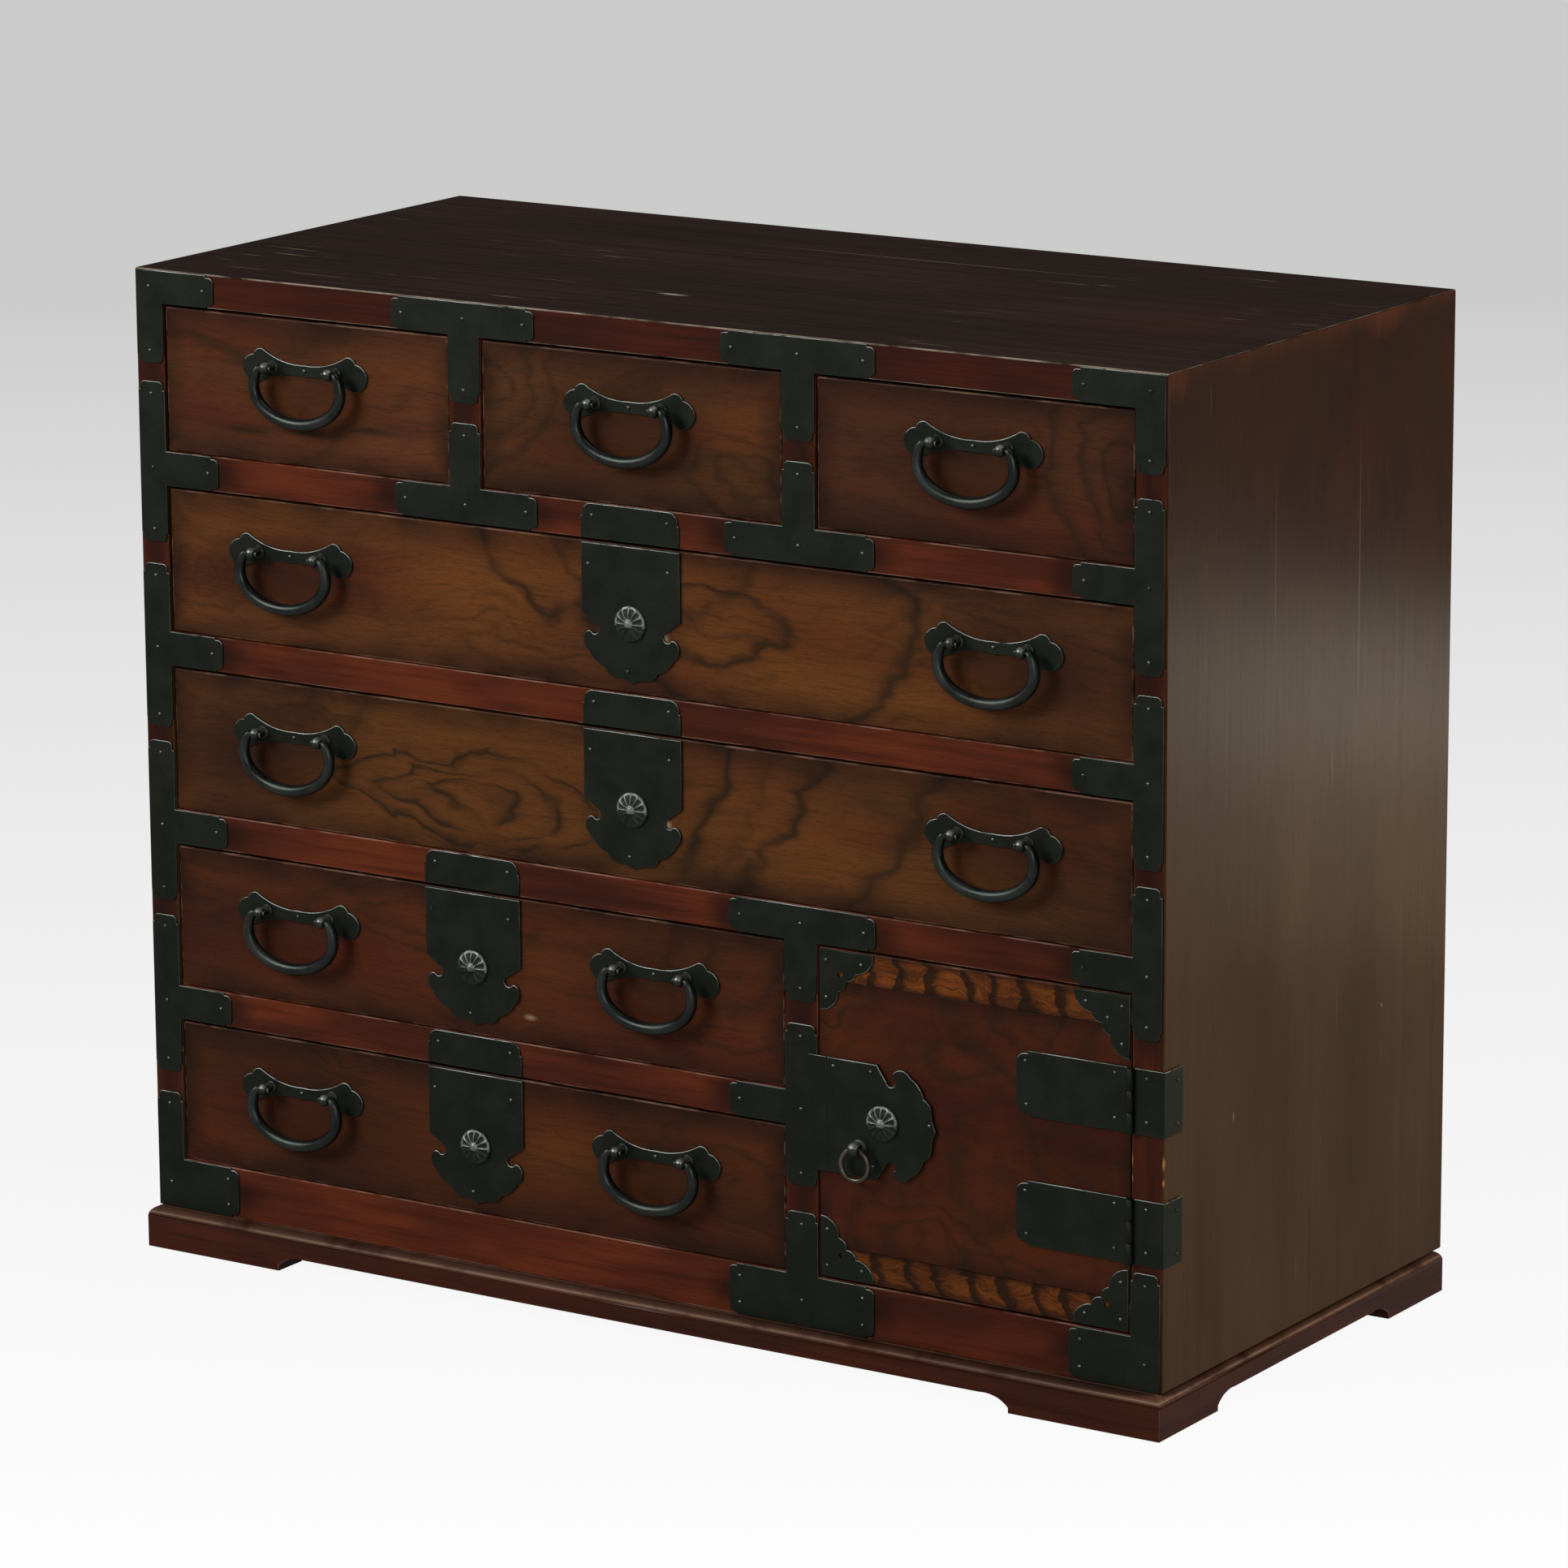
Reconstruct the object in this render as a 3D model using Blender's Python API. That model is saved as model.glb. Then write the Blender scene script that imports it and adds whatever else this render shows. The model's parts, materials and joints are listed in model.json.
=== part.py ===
"""Drawer chest with a small side door, as separate boards, drawers and iron mounts.

Metres, +Z up. The front faces -Y, the floor is z = 0, and the origin lies on the floor
under the middle of the whole chest.
Run with: blender --background --python part.py
"""
import math

import bmesh
import bpy
from mathutils import Matrix, Vector

# Gap between pieces that touch
SEAT_GAP = 0.0003

# Case
CASE_WIDTH = 0.900
CASE_DEPTH = 0.422
SIDE_BOARD = 0.026
TOP_BOARD = 0.026
BACK_BOARD = 0.010
DIVIDER_WIDTH = 0.028
PARTITION_BOARD = 0.010
RAIL_HEIGHT = 0.027
BOTTOM_RAIL_HEIGHT = 0.040
RAIL_DEPTH = 0.045
DUST_BOARD = 0.010
ROW_HEIGHT = 0.1124

# Plinth
PLINTH_HEIGHT = 0.032
PLINTH_BOARD = 0.030
PLINTH_SIDE_PROUD = 0.0038
PLINTH_FRONT_PROUD = 0.0106
PLINTH_BACK_INSET = 0.004
PLINTH_ROUND = 0.008
FRONT_FOOT = 0.126
SIDE_FOOT = 0.085
ARCH_RISE = 0.012
ARCH_END = 0.025

# Drawers
DRAWER_SETBACK = 0.001
DRAWER_SIDE_GAP = 0.0012
DRAWER_TOP_GAP = 0.0018
DRAWER_BACK_GAP = 0.006
DRAWER_FRONT = 0.018
TRAY_WALL = 0.009
TRAY_BOTTOM = 0.007
TRAY_DROP = 0.014

# Pulls
PULL_PLATE_WIDTH = 0.1152
PULL_PLATE_HEIGHT = 0.0262
PULL_PLATE = 0.0014
PULL_AXIS_OUT = 0.0115
POST_SPACING = 0.058
POST_NECK = 0.0066
POST_HEAD = 0.0092
BAIL_PIN = 0.0044
BAIL_PIN_PROUD = 0.0009
BAIL_ROD = 0.0078
BAIL_SHOULDER_OUT = 0.0065
BAIL_SHOULDER_DROP = 0.014
BAIL_DROP = 0.040
PULL_RISE = 0.0155
TOP_PULL_RISE = 0.0187
PULL_INSET = 0.115
RUNNING_GAP = 0.0003

# Lock plates
LOCK_WIDTH = 0.0865
LOCK_LOBE = 0.050
LOCK_PLATE = 0.0016
LOCK_TOP_GAP = 0.001
LOCK_BOTTOM_GAP = 0.0073
ROSETTE = 0.027
ROSETTE_RISE = 0.0050
ROSETTE_FROM_TIP = 0.045

# Door
DOOR_BOARD = 0.020
DOOR_GAP = 0.0015
DOOR_HINGE_GAP = 0.0010
DOOR_LOCK_STRAIGHT = 0.059
DOOR_LIP_LAP = 0.007
DOOR_LIP = 0.0012
DOOR_LIP_CLEAR = 0.0015
RING_ROD = 0.0035
RING_WIDTH = 0.027
RING_AXIS_OUT = 0.0090
STAPLE_NECK = 0.0070
STAPLE_HEAD = 0.0110
STAPLE_FROM_EDGE = 0.044
STAPLE_BELOW_CENTRE = 0.021

# Hinges
HINGE_SPACING = 0.0962
HINGE_HEIGHT = 0.0484
HINGE_PLATE = 0.0016
HINGE_DOOR_REACH = 0.095
HINGE_SIDE_WRAP = 0.024
HINGE_CORNER = 0.009
HINGE_KNUCKLE = 0.0056
HINGE_PIN = 0.0026
TAB_INSET = 0.0002

# Facets of round pieces
ROD_SIDES = 8
POST_SIDES = 12
BOSS_SIDES = 16
RING_STEPS = 16
SHOULDER_STEPS = 3
BOW_STEPS = 4
ARC_STEPS = 4
ROUND_STEPS = 4
SMOOTH_ANGLE = math.radians(40)

# Places worked out from the sizes
INNER_HALF = CASE_WIDTH / 2 - SIDE_BOARD
SMALL_WIDTH = (2 * INNER_HALF - 2 * DIVIDER_WIDTH) / 3
DIVIDER_X = INNER_HALF - SMALL_WIDTH - DIVIDER_WIDTH / 2
PULL_REACH = PULL_AXIS_OUT + max(POST_HEAD, BAIL_ROD) / 2 - DRAWER_SETBACK
FRONT_REACH = max(PULL_REACH, RING_AXIS_OUT + STAPLE_HEAD / 2, PLINTH_FRONT_PROUD)
FRONT_Y = (FRONT_REACH - CASE_DEPTH) / 2
BACK_Y = FRONT_Y + CASE_DEPTH
INNER_DEPTH = CASE_DEPTH - BACK_BOARD - SEAT_GAP
CASE_BASE = PLINTH_HEIGHT + SEAT_GAP
ROWS = ["left_lower", "left_upper", "lower_wide", "upper_wide", "top"]
ROW_PITCH = ROW_HEIGHT + RAIL_HEIGHT
CASE_TOP = CASE_BASE + BOTTOM_RAIL_HEIGHT + len(ROWS) * ROW_PITCH - RAIL_HEIGHT + TOP_BOARD
DRAWER_HEIGHT = ROW_HEIGHT - SEAT_GAP - DRAWER_TOP_GAP
LOCK_STRAIGHT = DRAWER_HEIGHT - LOCK_TOP_GAP - LOCK_BOTTOM_GAP - LOCK_LOBE
DOOR_LOCK_PLATE = DOOR_LIP_CLEAR + DOOR_LIP - SEAT_GAP

# Outlines of one half, top to bottom: share of half width, share of height, bulge out to the next point
PULL_OUTLINE = [
    (0.0, 0.26, -0.16), (0.67, 0.98, 0.40), (0.82, 0.63, 0.36),
    (1.0, -0.15, 0.42), (0.765, -1.0, -0.14), (0.0, -0.46, 0.0),
]
LOBE_OUTLINE = [
    (1.0, 0.0, 0.0), (0.73, -0.16, -1.15), (0.78, -0.31, 0.45), (0.91, -0.29, 0.50),
    (0.85, -0.60, 0.24), (0.27, -0.955, -0.10), (0.0, -1.0, 0.0),
]

# Profiles of turned pieces: latitudes on a post's ball head, and share of rise and of radius on a boss
POST_LATITUDES = [-50, -15, 15, 50, 80]
BOSS_PROFILE = [(-0.2, 1.0), (0.35, 0.93), (0.78, 0.62), (1.0, 0.22)]

# Finishes: colour as sRGB, roughness, metallic
LACQUER = ("4a1c14", 0.35, 0.0)
DARK_WOOD = ("2e221d", 0.45, 0.0)
FIGURED_WOOD = ("53301a", 0.35, 0.0)
PLAIN_WOOD = ("9a7b55", 0.7, 0.0)
IRON = ("20231f", 0.45, 0.9)


def linear(hex_colour):
    """Linear colour, with alpha, of an sRGB hex value."""
    channels = [int(hex_colour[i:i + 2], 16) / 255 for i in (0, 2, 4)]
    return [c / 12.92 if c <= 0.04045 else ((c + 0.055) / 1.055) ** 2.4 for c in channels] + [1.0]


def make_material(name, finish):
    """Principled material of one piece."""
    colour, roughness, metallic = finish
    material = bpy.data.materials.new(name)
    material.use_nodes = True
    shader = material.node_tree.nodes["Principled BSDF"]
    shader.inputs["Base Color"].default_value = linear(colour)
    shader.inputs["Roughness"].default_value = roughness
    shader.inputs["Metallic"].default_value = metallic
    return material


def to_mesh(name, bm, smooth=False):
    """Close a bmesh into a mesh with its faces pointing out."""
    bmesh.ops.recalc_face_normals(bm, faces=bm.faces[:])
    mesh = bpy.data.meshes.new(name)
    bm.to_mesh(mesh)
    bm.free()
    if smooth:
        shade_round(mesh)
    return mesh


def shade_round(mesh):
    """Smooth shading that keeps real corners sharp."""
    mesh.shade_smooth()
    mesh.set_sharp_from_angle(angle=SMOOTH_ANGLE)


def place(name, mesh, finish, location, parent):
    """Named object for one piece, with its own material."""
    piece = bpy.data.objects.new(name, mesh)
    bpy.context.collection.objects.link(piece)
    if not mesh.materials:
        mesh.materials.append(None)
    piece.material_slots[0].link = "OBJECT"
    piece.material_slots[0].material = make_material(name, finish)
    piece.location = location
    piece.parent = parent
    return piece


def place_empty(name, location, parent=None):
    """Empty that carries the pieces of one sub-assembly."""
    empty = bpy.data.objects.new(name, None)
    bpy.context.collection.objects.link(empty)
    empty.location = location
    empty.parent = parent
    return empty


def add_box(bm, low, high):
    """Box between two corners."""
    low, high = Vector(low), Vector(high)
    size = high - low
    matrix = Matrix.Translation((low + high) / 2) @ Matrix.Diagonal((*size, 1.0))
    bmesh.ops.create_cube(bm, size=1.0, matrix=matrix)


def box_mesh(name, low, high):
    """Mesh of one box."""
    bm = bmesh.new()
    add_box(bm, low, high)
    return to_mesh(name, bm)


def extrude_faces(bm, faces, offset):
    """Extrude faces by an offset and give back the moved faces."""
    edges = {e for f in faces for e in f.edges}
    corners = {v for f in faces for v in f.verts}
    moved = bmesh.ops.extrude_face_region(bm, geom=[*faces, *edges, *corners])["geom"]
    bmesh.ops.translate(bm, verts=[v for v in moved if isinstance(v, bmesh.types.BMVert)], vec=offset)
    return [f for f in moved if isinstance(f, bmesh.types.BMFace)]


def add_prism(bm, outline, axis, start, end):
    """Extrude a flat outline along X, Y or Z, from start to end."""
    along = "XYZ".index(axis)
    corners = []
    for point in outline:
        place_3d = list(point)
        place_3d.insert(along, start)
        corners.append(bm.verts.new(place_3d))
    offset = Vector((0, 0, 0))
    offset[along] = end - start
    extrude_faces(bm, [bm.faces.new(corners)], offset)


def prism_mesh(name, outline, axis, start, end):
    """Mesh of one prism."""
    bm = bmesh.new()
    add_prism(bm, outline, axis, start, end)
    return to_mesh(name, bm)


def stepped_mesh(name, tall, low, tall_height, low_height):
    """Two flat outlines with a shared edge, raised from one plane to two heights."""
    bm = bmesh.new()
    corners = {p: bm.verts.new((*p, 0.0)) for p in dict.fromkeys(tall + low)}
    tall_face = bm.faces.new([corners[p] for p in tall])
    low_face = bm.faces.new([corners[p] for p in low])
    tall_face.material_index = 1
    raised = extrude_faces(bm, [tall_face, low_face], (0, 0, low_height))
    tall_end = [f for f in raised if f.material_index == 1]
    if tall_height != low_height:
        extrude_faces(bm, tall_end, (0, 0, tall_height - low_height))
    for face in bm.faces:
        face.material_index = 0
    return to_mesh(name, bm)


def add_sweep(bm, path, radii, sides, normal, closed=False):
    """Round bar of changing radius along a flat path, whose plane has the given normal."""
    normal = Vector(normal)
    points = [Vector(p) for p in path]
    count = len(points)
    rings = []
    for i, (point, radius) in enumerate(zip(points, radii)):
        ahead = points[(i + 1) % count] if closed else points[min(i + 1, count - 1)]
        behind = points[i - 1] if closed else points[max(i - 1, 0)]
        across = (ahead - behind).normalized().cross(normal)
        angles = [2 * math.pi * k / sides for k in range(sides)]
        spokes = [math.cos(a) * normal + math.sin(a) * across for a in angles]
        rings.append([bm.verts.new(point + radius * spoke) for spoke in spokes])
    pairs = list(zip(rings, rings[1:]))
    if closed:
        pairs.append((rings[-1], rings[0]))
    else:
        bm.faces.new(rings[0])
        bm.faces.new(rings[-1])
    for first, second in pairs:
        for k in range(sides):
            n = (k + 1) % sides
            bm.faces.new((first[k], first[n], second[n], second[k]))


def sweep_mesh(name, path, radii, sides, normal, closed=False):
    """Mesh of one round bar."""
    bm = bmesh.new()
    add_sweep(bm, path, radii, sides, normal, closed)
    return to_mesh(name, bm, smooth=True)


def combine(name, base, steps, smooth=False):
    """Mesh of a base after union and difference steps, each a (operation, mesh) pair."""
    body = bpy.data.objects.new(name + "_body", base)
    bpy.context.collection.objects.link(body)
    tools = []
    for operation, tool_mesh in steps:
        tool = bpy.data.objects.new(name + "_tool", tool_mesh)
        bpy.context.collection.objects.link(tool)
        tools.append(tool)
        modifier = body.modifiers.new(operation.lower(), "BOOLEAN")
        modifier.operation = operation
        modifier.solver = "EXACT"
        modifier.object = tool
    evaluated = body.evaluated_get(bpy.context.evaluated_depsgraph_get())
    mesh = bpy.data.meshes.new_from_object(evaluated)
    mesh.name = name
    for helper in [body, *tools]:
        bpy.data.objects.remove(helper)
    if smooth:
        shade_round(mesh)
    return mesh


def arc_points(start, end, bulge):
    """Points after start, up to end, on an arc whose bulge is its height over half its chord."""
    if bulge == 0:
        return [end]
    chord = (end - start).length
    outward = Vector((start.y - end.y, end.x - start.x)) / chord
    height = bulge * chord / 2
    offset = (height * height - chord * chord / 4) / (2 * height)
    centre = (start + end) / 2 + outward * offset
    step = -4 * math.atan(bulge) / ARC_STEPS
    turns = [Matrix.Rotation(step * k, 2) for k in range(1, ARC_STEPS + 1)]
    return [centre + turn @ (start - centre) for turn in turns]


def mirrored_outline(half, half_width, height):
    """Closed outline from the right half of a symmetric shape."""
    corners = [Vector((u * half_width, v * height)) for u, v, _ in half]
    right = [corners[0]]
    for (_, _, bulge), start, end in zip(half, corners, corners[1:]):
        right.extend(arc_points(start, end, bulge))
    left = [Vector((-p.x, p.y)) for p in reversed(right) if p.x > SEAT_GAP]
    return [tuple(p) for p in right + left]


def quarter_ellipse(centre, radius_u, radius_v, start_degrees, steps):
    """Points on a quarter ellipse, from start_degrees through 90 degrees clockwise."""
    angles = [math.radians(start_degrees - 90 * k / steps) for k in range(steps + 1)]
    return [(centre[0] + radius_u * math.cos(a), centre[1] + radius_v * math.sin(a)) for a in angles]


def row_floor(row):
    """Height on which the drawers of a named row run."""
    return CASE_BASE + BOTTOM_RAIL_HEIGHT + ROWS.index(row) * ROW_PITCH


def build_plinth(chest):
    """Open frame with a rounded upper edge and an arch between the feet on each side."""
    half_width = CASE_WIDTH / 2 + PLINTH_SIDE_PROUD
    front = FRONT_Y - PLINTH_FRONT_PROUD
    back = BACK_Y - PLINTH_BACK_INSET
    bm = bmesh.new()
    add_box(bm, (-half_width, front, 0), (half_width, back, PLINTH_HEIGHT))
    upper = [e for e in bm.edges if all(v.co.z > PLINTH_HEIGHT / 2 for v in e.verts)]
    bmesh.ops.bevel(bm, geom=upper, offset=PLINTH_ROUND, segments=ROUND_STEPS, profile=0.5, affect="EDGES")
    solid = to_mesh("plinth_block", bm)
    over = PLINTH_HEIGHT
    hollow = box_mesh(
        "plinth_hollow",
        (-half_width + PLINTH_BOARD, front + PLINTH_BOARD, -over),
        (half_width - PLINTH_BOARD, back - PLINTH_BOARD, PLINTH_HEIGHT + over),
    )
    front_arch = prism_mesh(
        "front_arch", arch_outline(-half_width, half_width, FRONT_FOOT), "Y", front - over, back + over
    )
    side_arch = prism_mesh(
        "side_arch", arch_outline(front, back, SIDE_FOOT), "X", -half_width - over, half_width + over
    )
    cuts = [("DIFFERENCE", hollow), ("DIFFERENCE", front_arch), ("DIFFERENCE", side_arch)]
    mesh = combine("plinth_frame", solid, cuts, smooth=True)
    place("plinth_frame", mesh, LACQUER, (0, 0, 0), chest)


def arch_outline(start, end, foot):
    """Outline of the gap between two feet, with rounded upper ends, reaching below the floor."""
    below = -PLINTH_HEIGHT
    left = (start + foot + ARCH_END, 0)
    right = (end - foot - ARCH_END, 0)
    return [
        (start + foot, below),
        *quarter_ellipse(left, ARCH_END, ARCH_RISE, 180, ARC_STEPS),
        *quarter_ellipse(right, ARCH_END, ARCH_RISE, 90, ARC_STEPS),
        (end - foot, below),
    ]


def build_shell(chest):
    """Sides and top with mitred corners, and the back between them."""
    half = CASE_WIDTH / 2
    under = CASE_TOP - TOP_BOARD
    mitre_gap = SEAT_GAP * math.sqrt(2)
    for name, sign in (("left_side_panel", -1), ("right_side_panel", 1)):
        outline = [
            (sign * half, CASE_BASE), (sign * INNER_HALF, CASE_BASE),
            (sign * INNER_HALF, under - mitre_gap), (sign * half, CASE_TOP - mitre_gap),
        ]
        place(name, prism_mesh(name, outline, "Y", 0, CASE_DEPTH), DARK_WOOD, (0, FRONT_Y, 0), chest)
    outline = [(-half, CASE_TOP), (half, CASE_TOP), (INNER_HALF, under), (-INNER_HALF, under)]
    top = prism_mesh("top_panel", outline, "Y", 0, CASE_DEPTH)
    place("top_panel", top, DARK_WOOD, (0, FRONT_Y, 0), chest)
    side = INNER_HALF - SEAT_GAP
    back = box_mesh("back_panel", (-side, -BACK_BOARD, CASE_BASE), (side, 0, under - SEAT_GAP))
    place("back_panel", back, PLAIN_WOOD, (0, BACK_Y, 0), chest)


def build_shelf(chest, name, right, z_top, rail_height, board_right):
    """Front rail with the thin board behind it, flush on top, from the left side to the given ends."""
    left = SEAT_GAP - INNER_HALF
    rail = [(left, 0.0), (right, 0.0), (right, RAIL_DEPTH), (left, RAIL_DEPTH)]
    board = [(left, RAIL_DEPTH), (right, RAIL_DEPTH)]
    if board_right > right:
        board.append((board_right, RAIL_DEPTH))
    board += [(board_right, INNER_DEPTH), (left, INNER_DEPTH)]
    mesh = stepped_mesh(name, rail, board, -rail_height, -DUST_BOARD)
    place(name, mesh, LACQUER, (0, FRONT_Y, z_top), chest)


def build_divider(chest, name, x, z_low, post_top, partition_top):
    """Front post with the thin partition behind it."""
    post, sheet = DIVIDER_WIDTH / 2, PARTITION_BOARD / 2
    front = [
        (-post, 0.0), (post, 0.0), (post, RAIL_DEPTH),
        (sheet, RAIL_DEPTH), (-sheet, RAIL_DEPTH), (-post, RAIL_DEPTH),
    ]
    behind = [(-sheet, RAIL_DEPTH), (sheet, RAIL_DEPTH), (sheet, INNER_DEPTH), (-sheet, INNER_DEPTH)]
    z_low += SEAT_GAP
    mesh = stepped_mesh(name, behind, front, partition_top - SEAT_GAP - z_low, post_top - SEAT_GAP - z_low)
    place(name, mesh, LACQUER, (x, FRONT_Y, z_low), chest)


def build_inside(chest):
    """Bottom, shelves and dividers between the drawers."""
    full = INNER_HALF - SEAT_GAP
    build_shelf(chest, "bottom_panel", full, row_floor("left_lower"), BOTTOM_RAIL_HEIGHT, full)
    post_side = DIVIDER_X - DIVIDER_WIDTH / 2 - SEAT_GAP
    sheet_side = DIVIDER_X - PARTITION_BOARD / 2 - SEAT_GAP
    build_shelf(chest, "short_shelf", post_side, row_floor("left_upper"), RAIL_HEIGHT, sheet_side)
    for row, name in (("lower_wide", "lower_shelf"), ("upper_wide", "middle_shelf"), ("top", "upper_shelf")):
        build_shelf(chest, name, full, row_floor(row), RAIL_HEIGHT, full)
    shelf_top = row_floor("lower_wide")
    build_divider(
        chest, "lower_divider", DIVIDER_X, row_floor("left_lower"),
        shelf_top - RAIL_HEIGHT, shelf_top - DUST_BOARD,
    )
    under = CASE_TOP - TOP_BOARD
    for name, x in (("upper_divider_left", -DIVIDER_X), ("upper_divider_right", DIVIDER_X)):
        build_divider(chest, name, x, row_floor("top"), under, under)


def pull_plate_mesh():
    """Winged plate with two round posts, each with an eye for the bail. Its origin is on the bail's axis."""
    outline = mirrored_outline(PULL_OUTLINE, PULL_PLATE_WIDTH / 2, PULL_PLATE_HEIGHT / 2)
    base = PULL_AXIS_OUT - SEAT_GAP
    plate = prism_mesh("pull_plate", outline, "Y", base - PULL_PLATE, base)
    eye = BAIL_PIN / 2 + RUNNING_GAP
    steps = []
    for side in (-1, 1):
        x = side * POST_SPACING / 2
        steps.append(("UNION", post_mesh(x, base - PULL_PLATE / 2, POST_NECK / 2, POST_HEAD / 2)))
        steps.append(("DIFFERENCE", cross_bore_mesh(x, eye, POST_HEAD)))
    return combine("pull_plate", plate, steps, smooth=True)


def post_mesh(x, foot, neck, head):
    """Round post with a ball head centred on y = 0, standing on y = foot."""
    angles = [math.radians(a) for a in POST_LATITUDES]
    path = [(x, foot, 0)] + [(x, -head * math.sin(a), 0) for a in angles]
    radii = [neck] + [max(neck, head * math.cos(a)) if a < 0 else head * math.cos(a) for a in angles]
    return sweep_mesh("post", path, radii, POST_SIDES, (0, 0, 1))


def cross_bore_mesh(x, radius, length):
    """Cutter along X through a post's head."""
    return sweep_mesh("bore", [(x - length, 0, 0), (x + length, 0, 0)], [radius] * 2, POST_SIDES, (0, 0, 1))


def bail_mesh():
    """Bowed handle hanging from its axis, with pins turned in to the eyes of the posts."""
    pin_end = (POST_SPACING - POST_HEAD) / 2 - BAIL_PIN_PROUD
    bend = (POST_SPACING + POST_HEAD) / 2
    half = bend + BAIL_SHOULDER_OUT
    low = -BAIL_SHOULDER_DROP
    shoulder = quarter_ellipse((bend, low), BAIL_SHOULDER_OUT, BAIL_SHOULDER_DROP, 90, SHOULDER_STEPS)
    bow = quarter_ellipse((0, low), half, BAIL_DROP - BAIL_SHOULDER_DROP, 0, BOW_STEPS)
    right = [(pin_end, 0.0), *shoulder, *bow[1:]]
    path = [(-x, 0, z) for x, z in right] + [(x, 0, z) for x, z in reversed(right[:-1])]
    swell = [max(0.0, i - 1) / (len(right) - 2) for i in range(len(right))]
    radii = [(BAIL_PIN + (BAIL_ROD - BAIL_PIN) * math.sin(s * math.pi / 2)) / 2 for s in swell]
    return sweep_mesh("bail", path, radii + radii[-2::-1], ROD_SIDES, (0, 1, 0))


def lock_outline(straight):
    """Plate outline with a straight upper part and hooked lobes, its top edge at zero."""
    half = LOCK_WIDTH / 2
    lobes = mirrored_outline(LOBE_OUTLINE, half, LOCK_LOBE)
    return [(-half, 0.0), (half, 0.0)] + [(u, v - straight) for u, v in lobes]


def boss_mesh(z, face):
    """Domed rosette boss standing on the plane y = face."""
    path = [(0, face - rise * ROSETTE_RISE, z) for rise, _ in BOSS_PROFILE]
    radii = [ROSETTE / 2 * share for _, share in BOSS_PROFILE]
    return sweep_mesh("boss", path, radii, BOSS_SIDES, (0, 0, 1))


def lock_plate_mesh():
    """Drawer lock plate with its boss. Its origin is at the middle of its top edge, on the drawer's face."""
    plate = prism_mesh("lock_plate", lock_outline(LOCK_STRAIGHT), "Y", -SEAT_GAP - LOCK_PLATE, -SEAT_GAP)
    boss = boss_mesh(ROSETTE_FROM_TIP - LOCK_STRAIGHT - LOCK_LOBE, -SEAT_GAP - LOCK_PLATE)
    return combine("lock_plate", plate, [("UNION", boss)], smooth=True)


def tray_mesh(name, width, height, depth):
    """Open box behind a drawer front, with its origin at the middle of its lower front edge."""
    bm = bmesh.new()
    add_box(bm, (-width / 2, 0, 0), (width / 2, depth, height))
    bm.normal_update()
    top = [f for f in bm.faces if f.normal.z > 0.5]
    bmesh.ops.inset_region(bm, faces=top, thickness=TRAY_WALL, use_even_offset=True)
    extrude_faces(bm, top, (0, 0, TRAY_BOTTOM - height))
    return to_mesh(name, bm)


def build_drawer(chest, name, left, right, row, pulls, rise, lock, shapes):
    """Drawer front, tray, pulls and lock plate, carried by one empty on the slide."""
    centre = (left + right) / 2
    width = right - left - 2 * DRAWER_SIDE_GAP
    slide = place_empty(name + "_slide", (centre, FRONT_Y + DRAWER_SETBACK, row_floor(row) + SEAT_GAP), chest)
    front = box_mesh(name + "_drawer_front", (-width / 2, 0, 0), (width / 2, DRAWER_FRONT, DRAWER_HEIGHT))
    place(name + "_drawer_front", front, FIGURED_WOOD, (0, 0, 0), slide)
    tray_front = DRAWER_FRONT + SEAT_GAP
    tray_depth = INNER_DEPTH - DRAWER_SETBACK - tray_front - DRAWER_BACK_GAP
    tray = tray_mesh(name + "_drawer_tray", width, DRAWER_HEIGHT - TRAY_DROP, tray_depth)
    place(name + "_drawer_tray", tray, PLAIN_WOOD, (0, tray_front, 0), slide)
    for label, x in pulls:
        axis = (x - centre, -PULL_AXIS_OUT, DRAWER_HEIGHT / 2 + rise)
        place(f"{name}_{label}pull_plate", shapes["pull_plate"], IRON, axis, slide)
        place(f"{name}_{label}bail", shapes["bail"], IRON, axis, slide)
    if lock:
        place(name + "_lock_plate", shapes["lock_plate"], IRON, (0, 0, DRAWER_HEIGHT - LOCK_TOP_GAP), slide)


def build_drawers(chest):
    """Three small drawers on top, two full-width ones, and two beside the door."""
    shapes = {"pull_plate": pull_plate_mesh(), "bail": bail_mesh(), "lock_plate": lock_plate_mesh()}
    post = DIVIDER_WIDTH / 2
    columns = {
        "top_left": (-INNER_HALF, -DIVIDER_X - post),
        "top_middle": (-DIVIDER_X + post, DIVIDER_X - post),
        "top_right": (DIVIDER_X + post, INNER_HALF),
    }
    for name, (left, right) in columns.items():
        pulls = [("", (left + right) / 2)]
        build_drawer(chest, name, left, right, "top", pulls, TOP_PULL_RISE, False, shapes)
    ends = {"upper_wide": INNER_HALF, "lower_wide": INNER_HALF}
    ends |= {"left_upper": DIVIDER_X - post, "left_lower": DIVIDER_X - post}
    for name, right in ends.items():
        pulls = [("left_", PULL_INSET - INNER_HALF), ("right_", right - PULL_INSET)]
        build_drawer(chest, name, -INNER_HALF, right, name, pulls, PULL_RISE, True, shapes)


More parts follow.
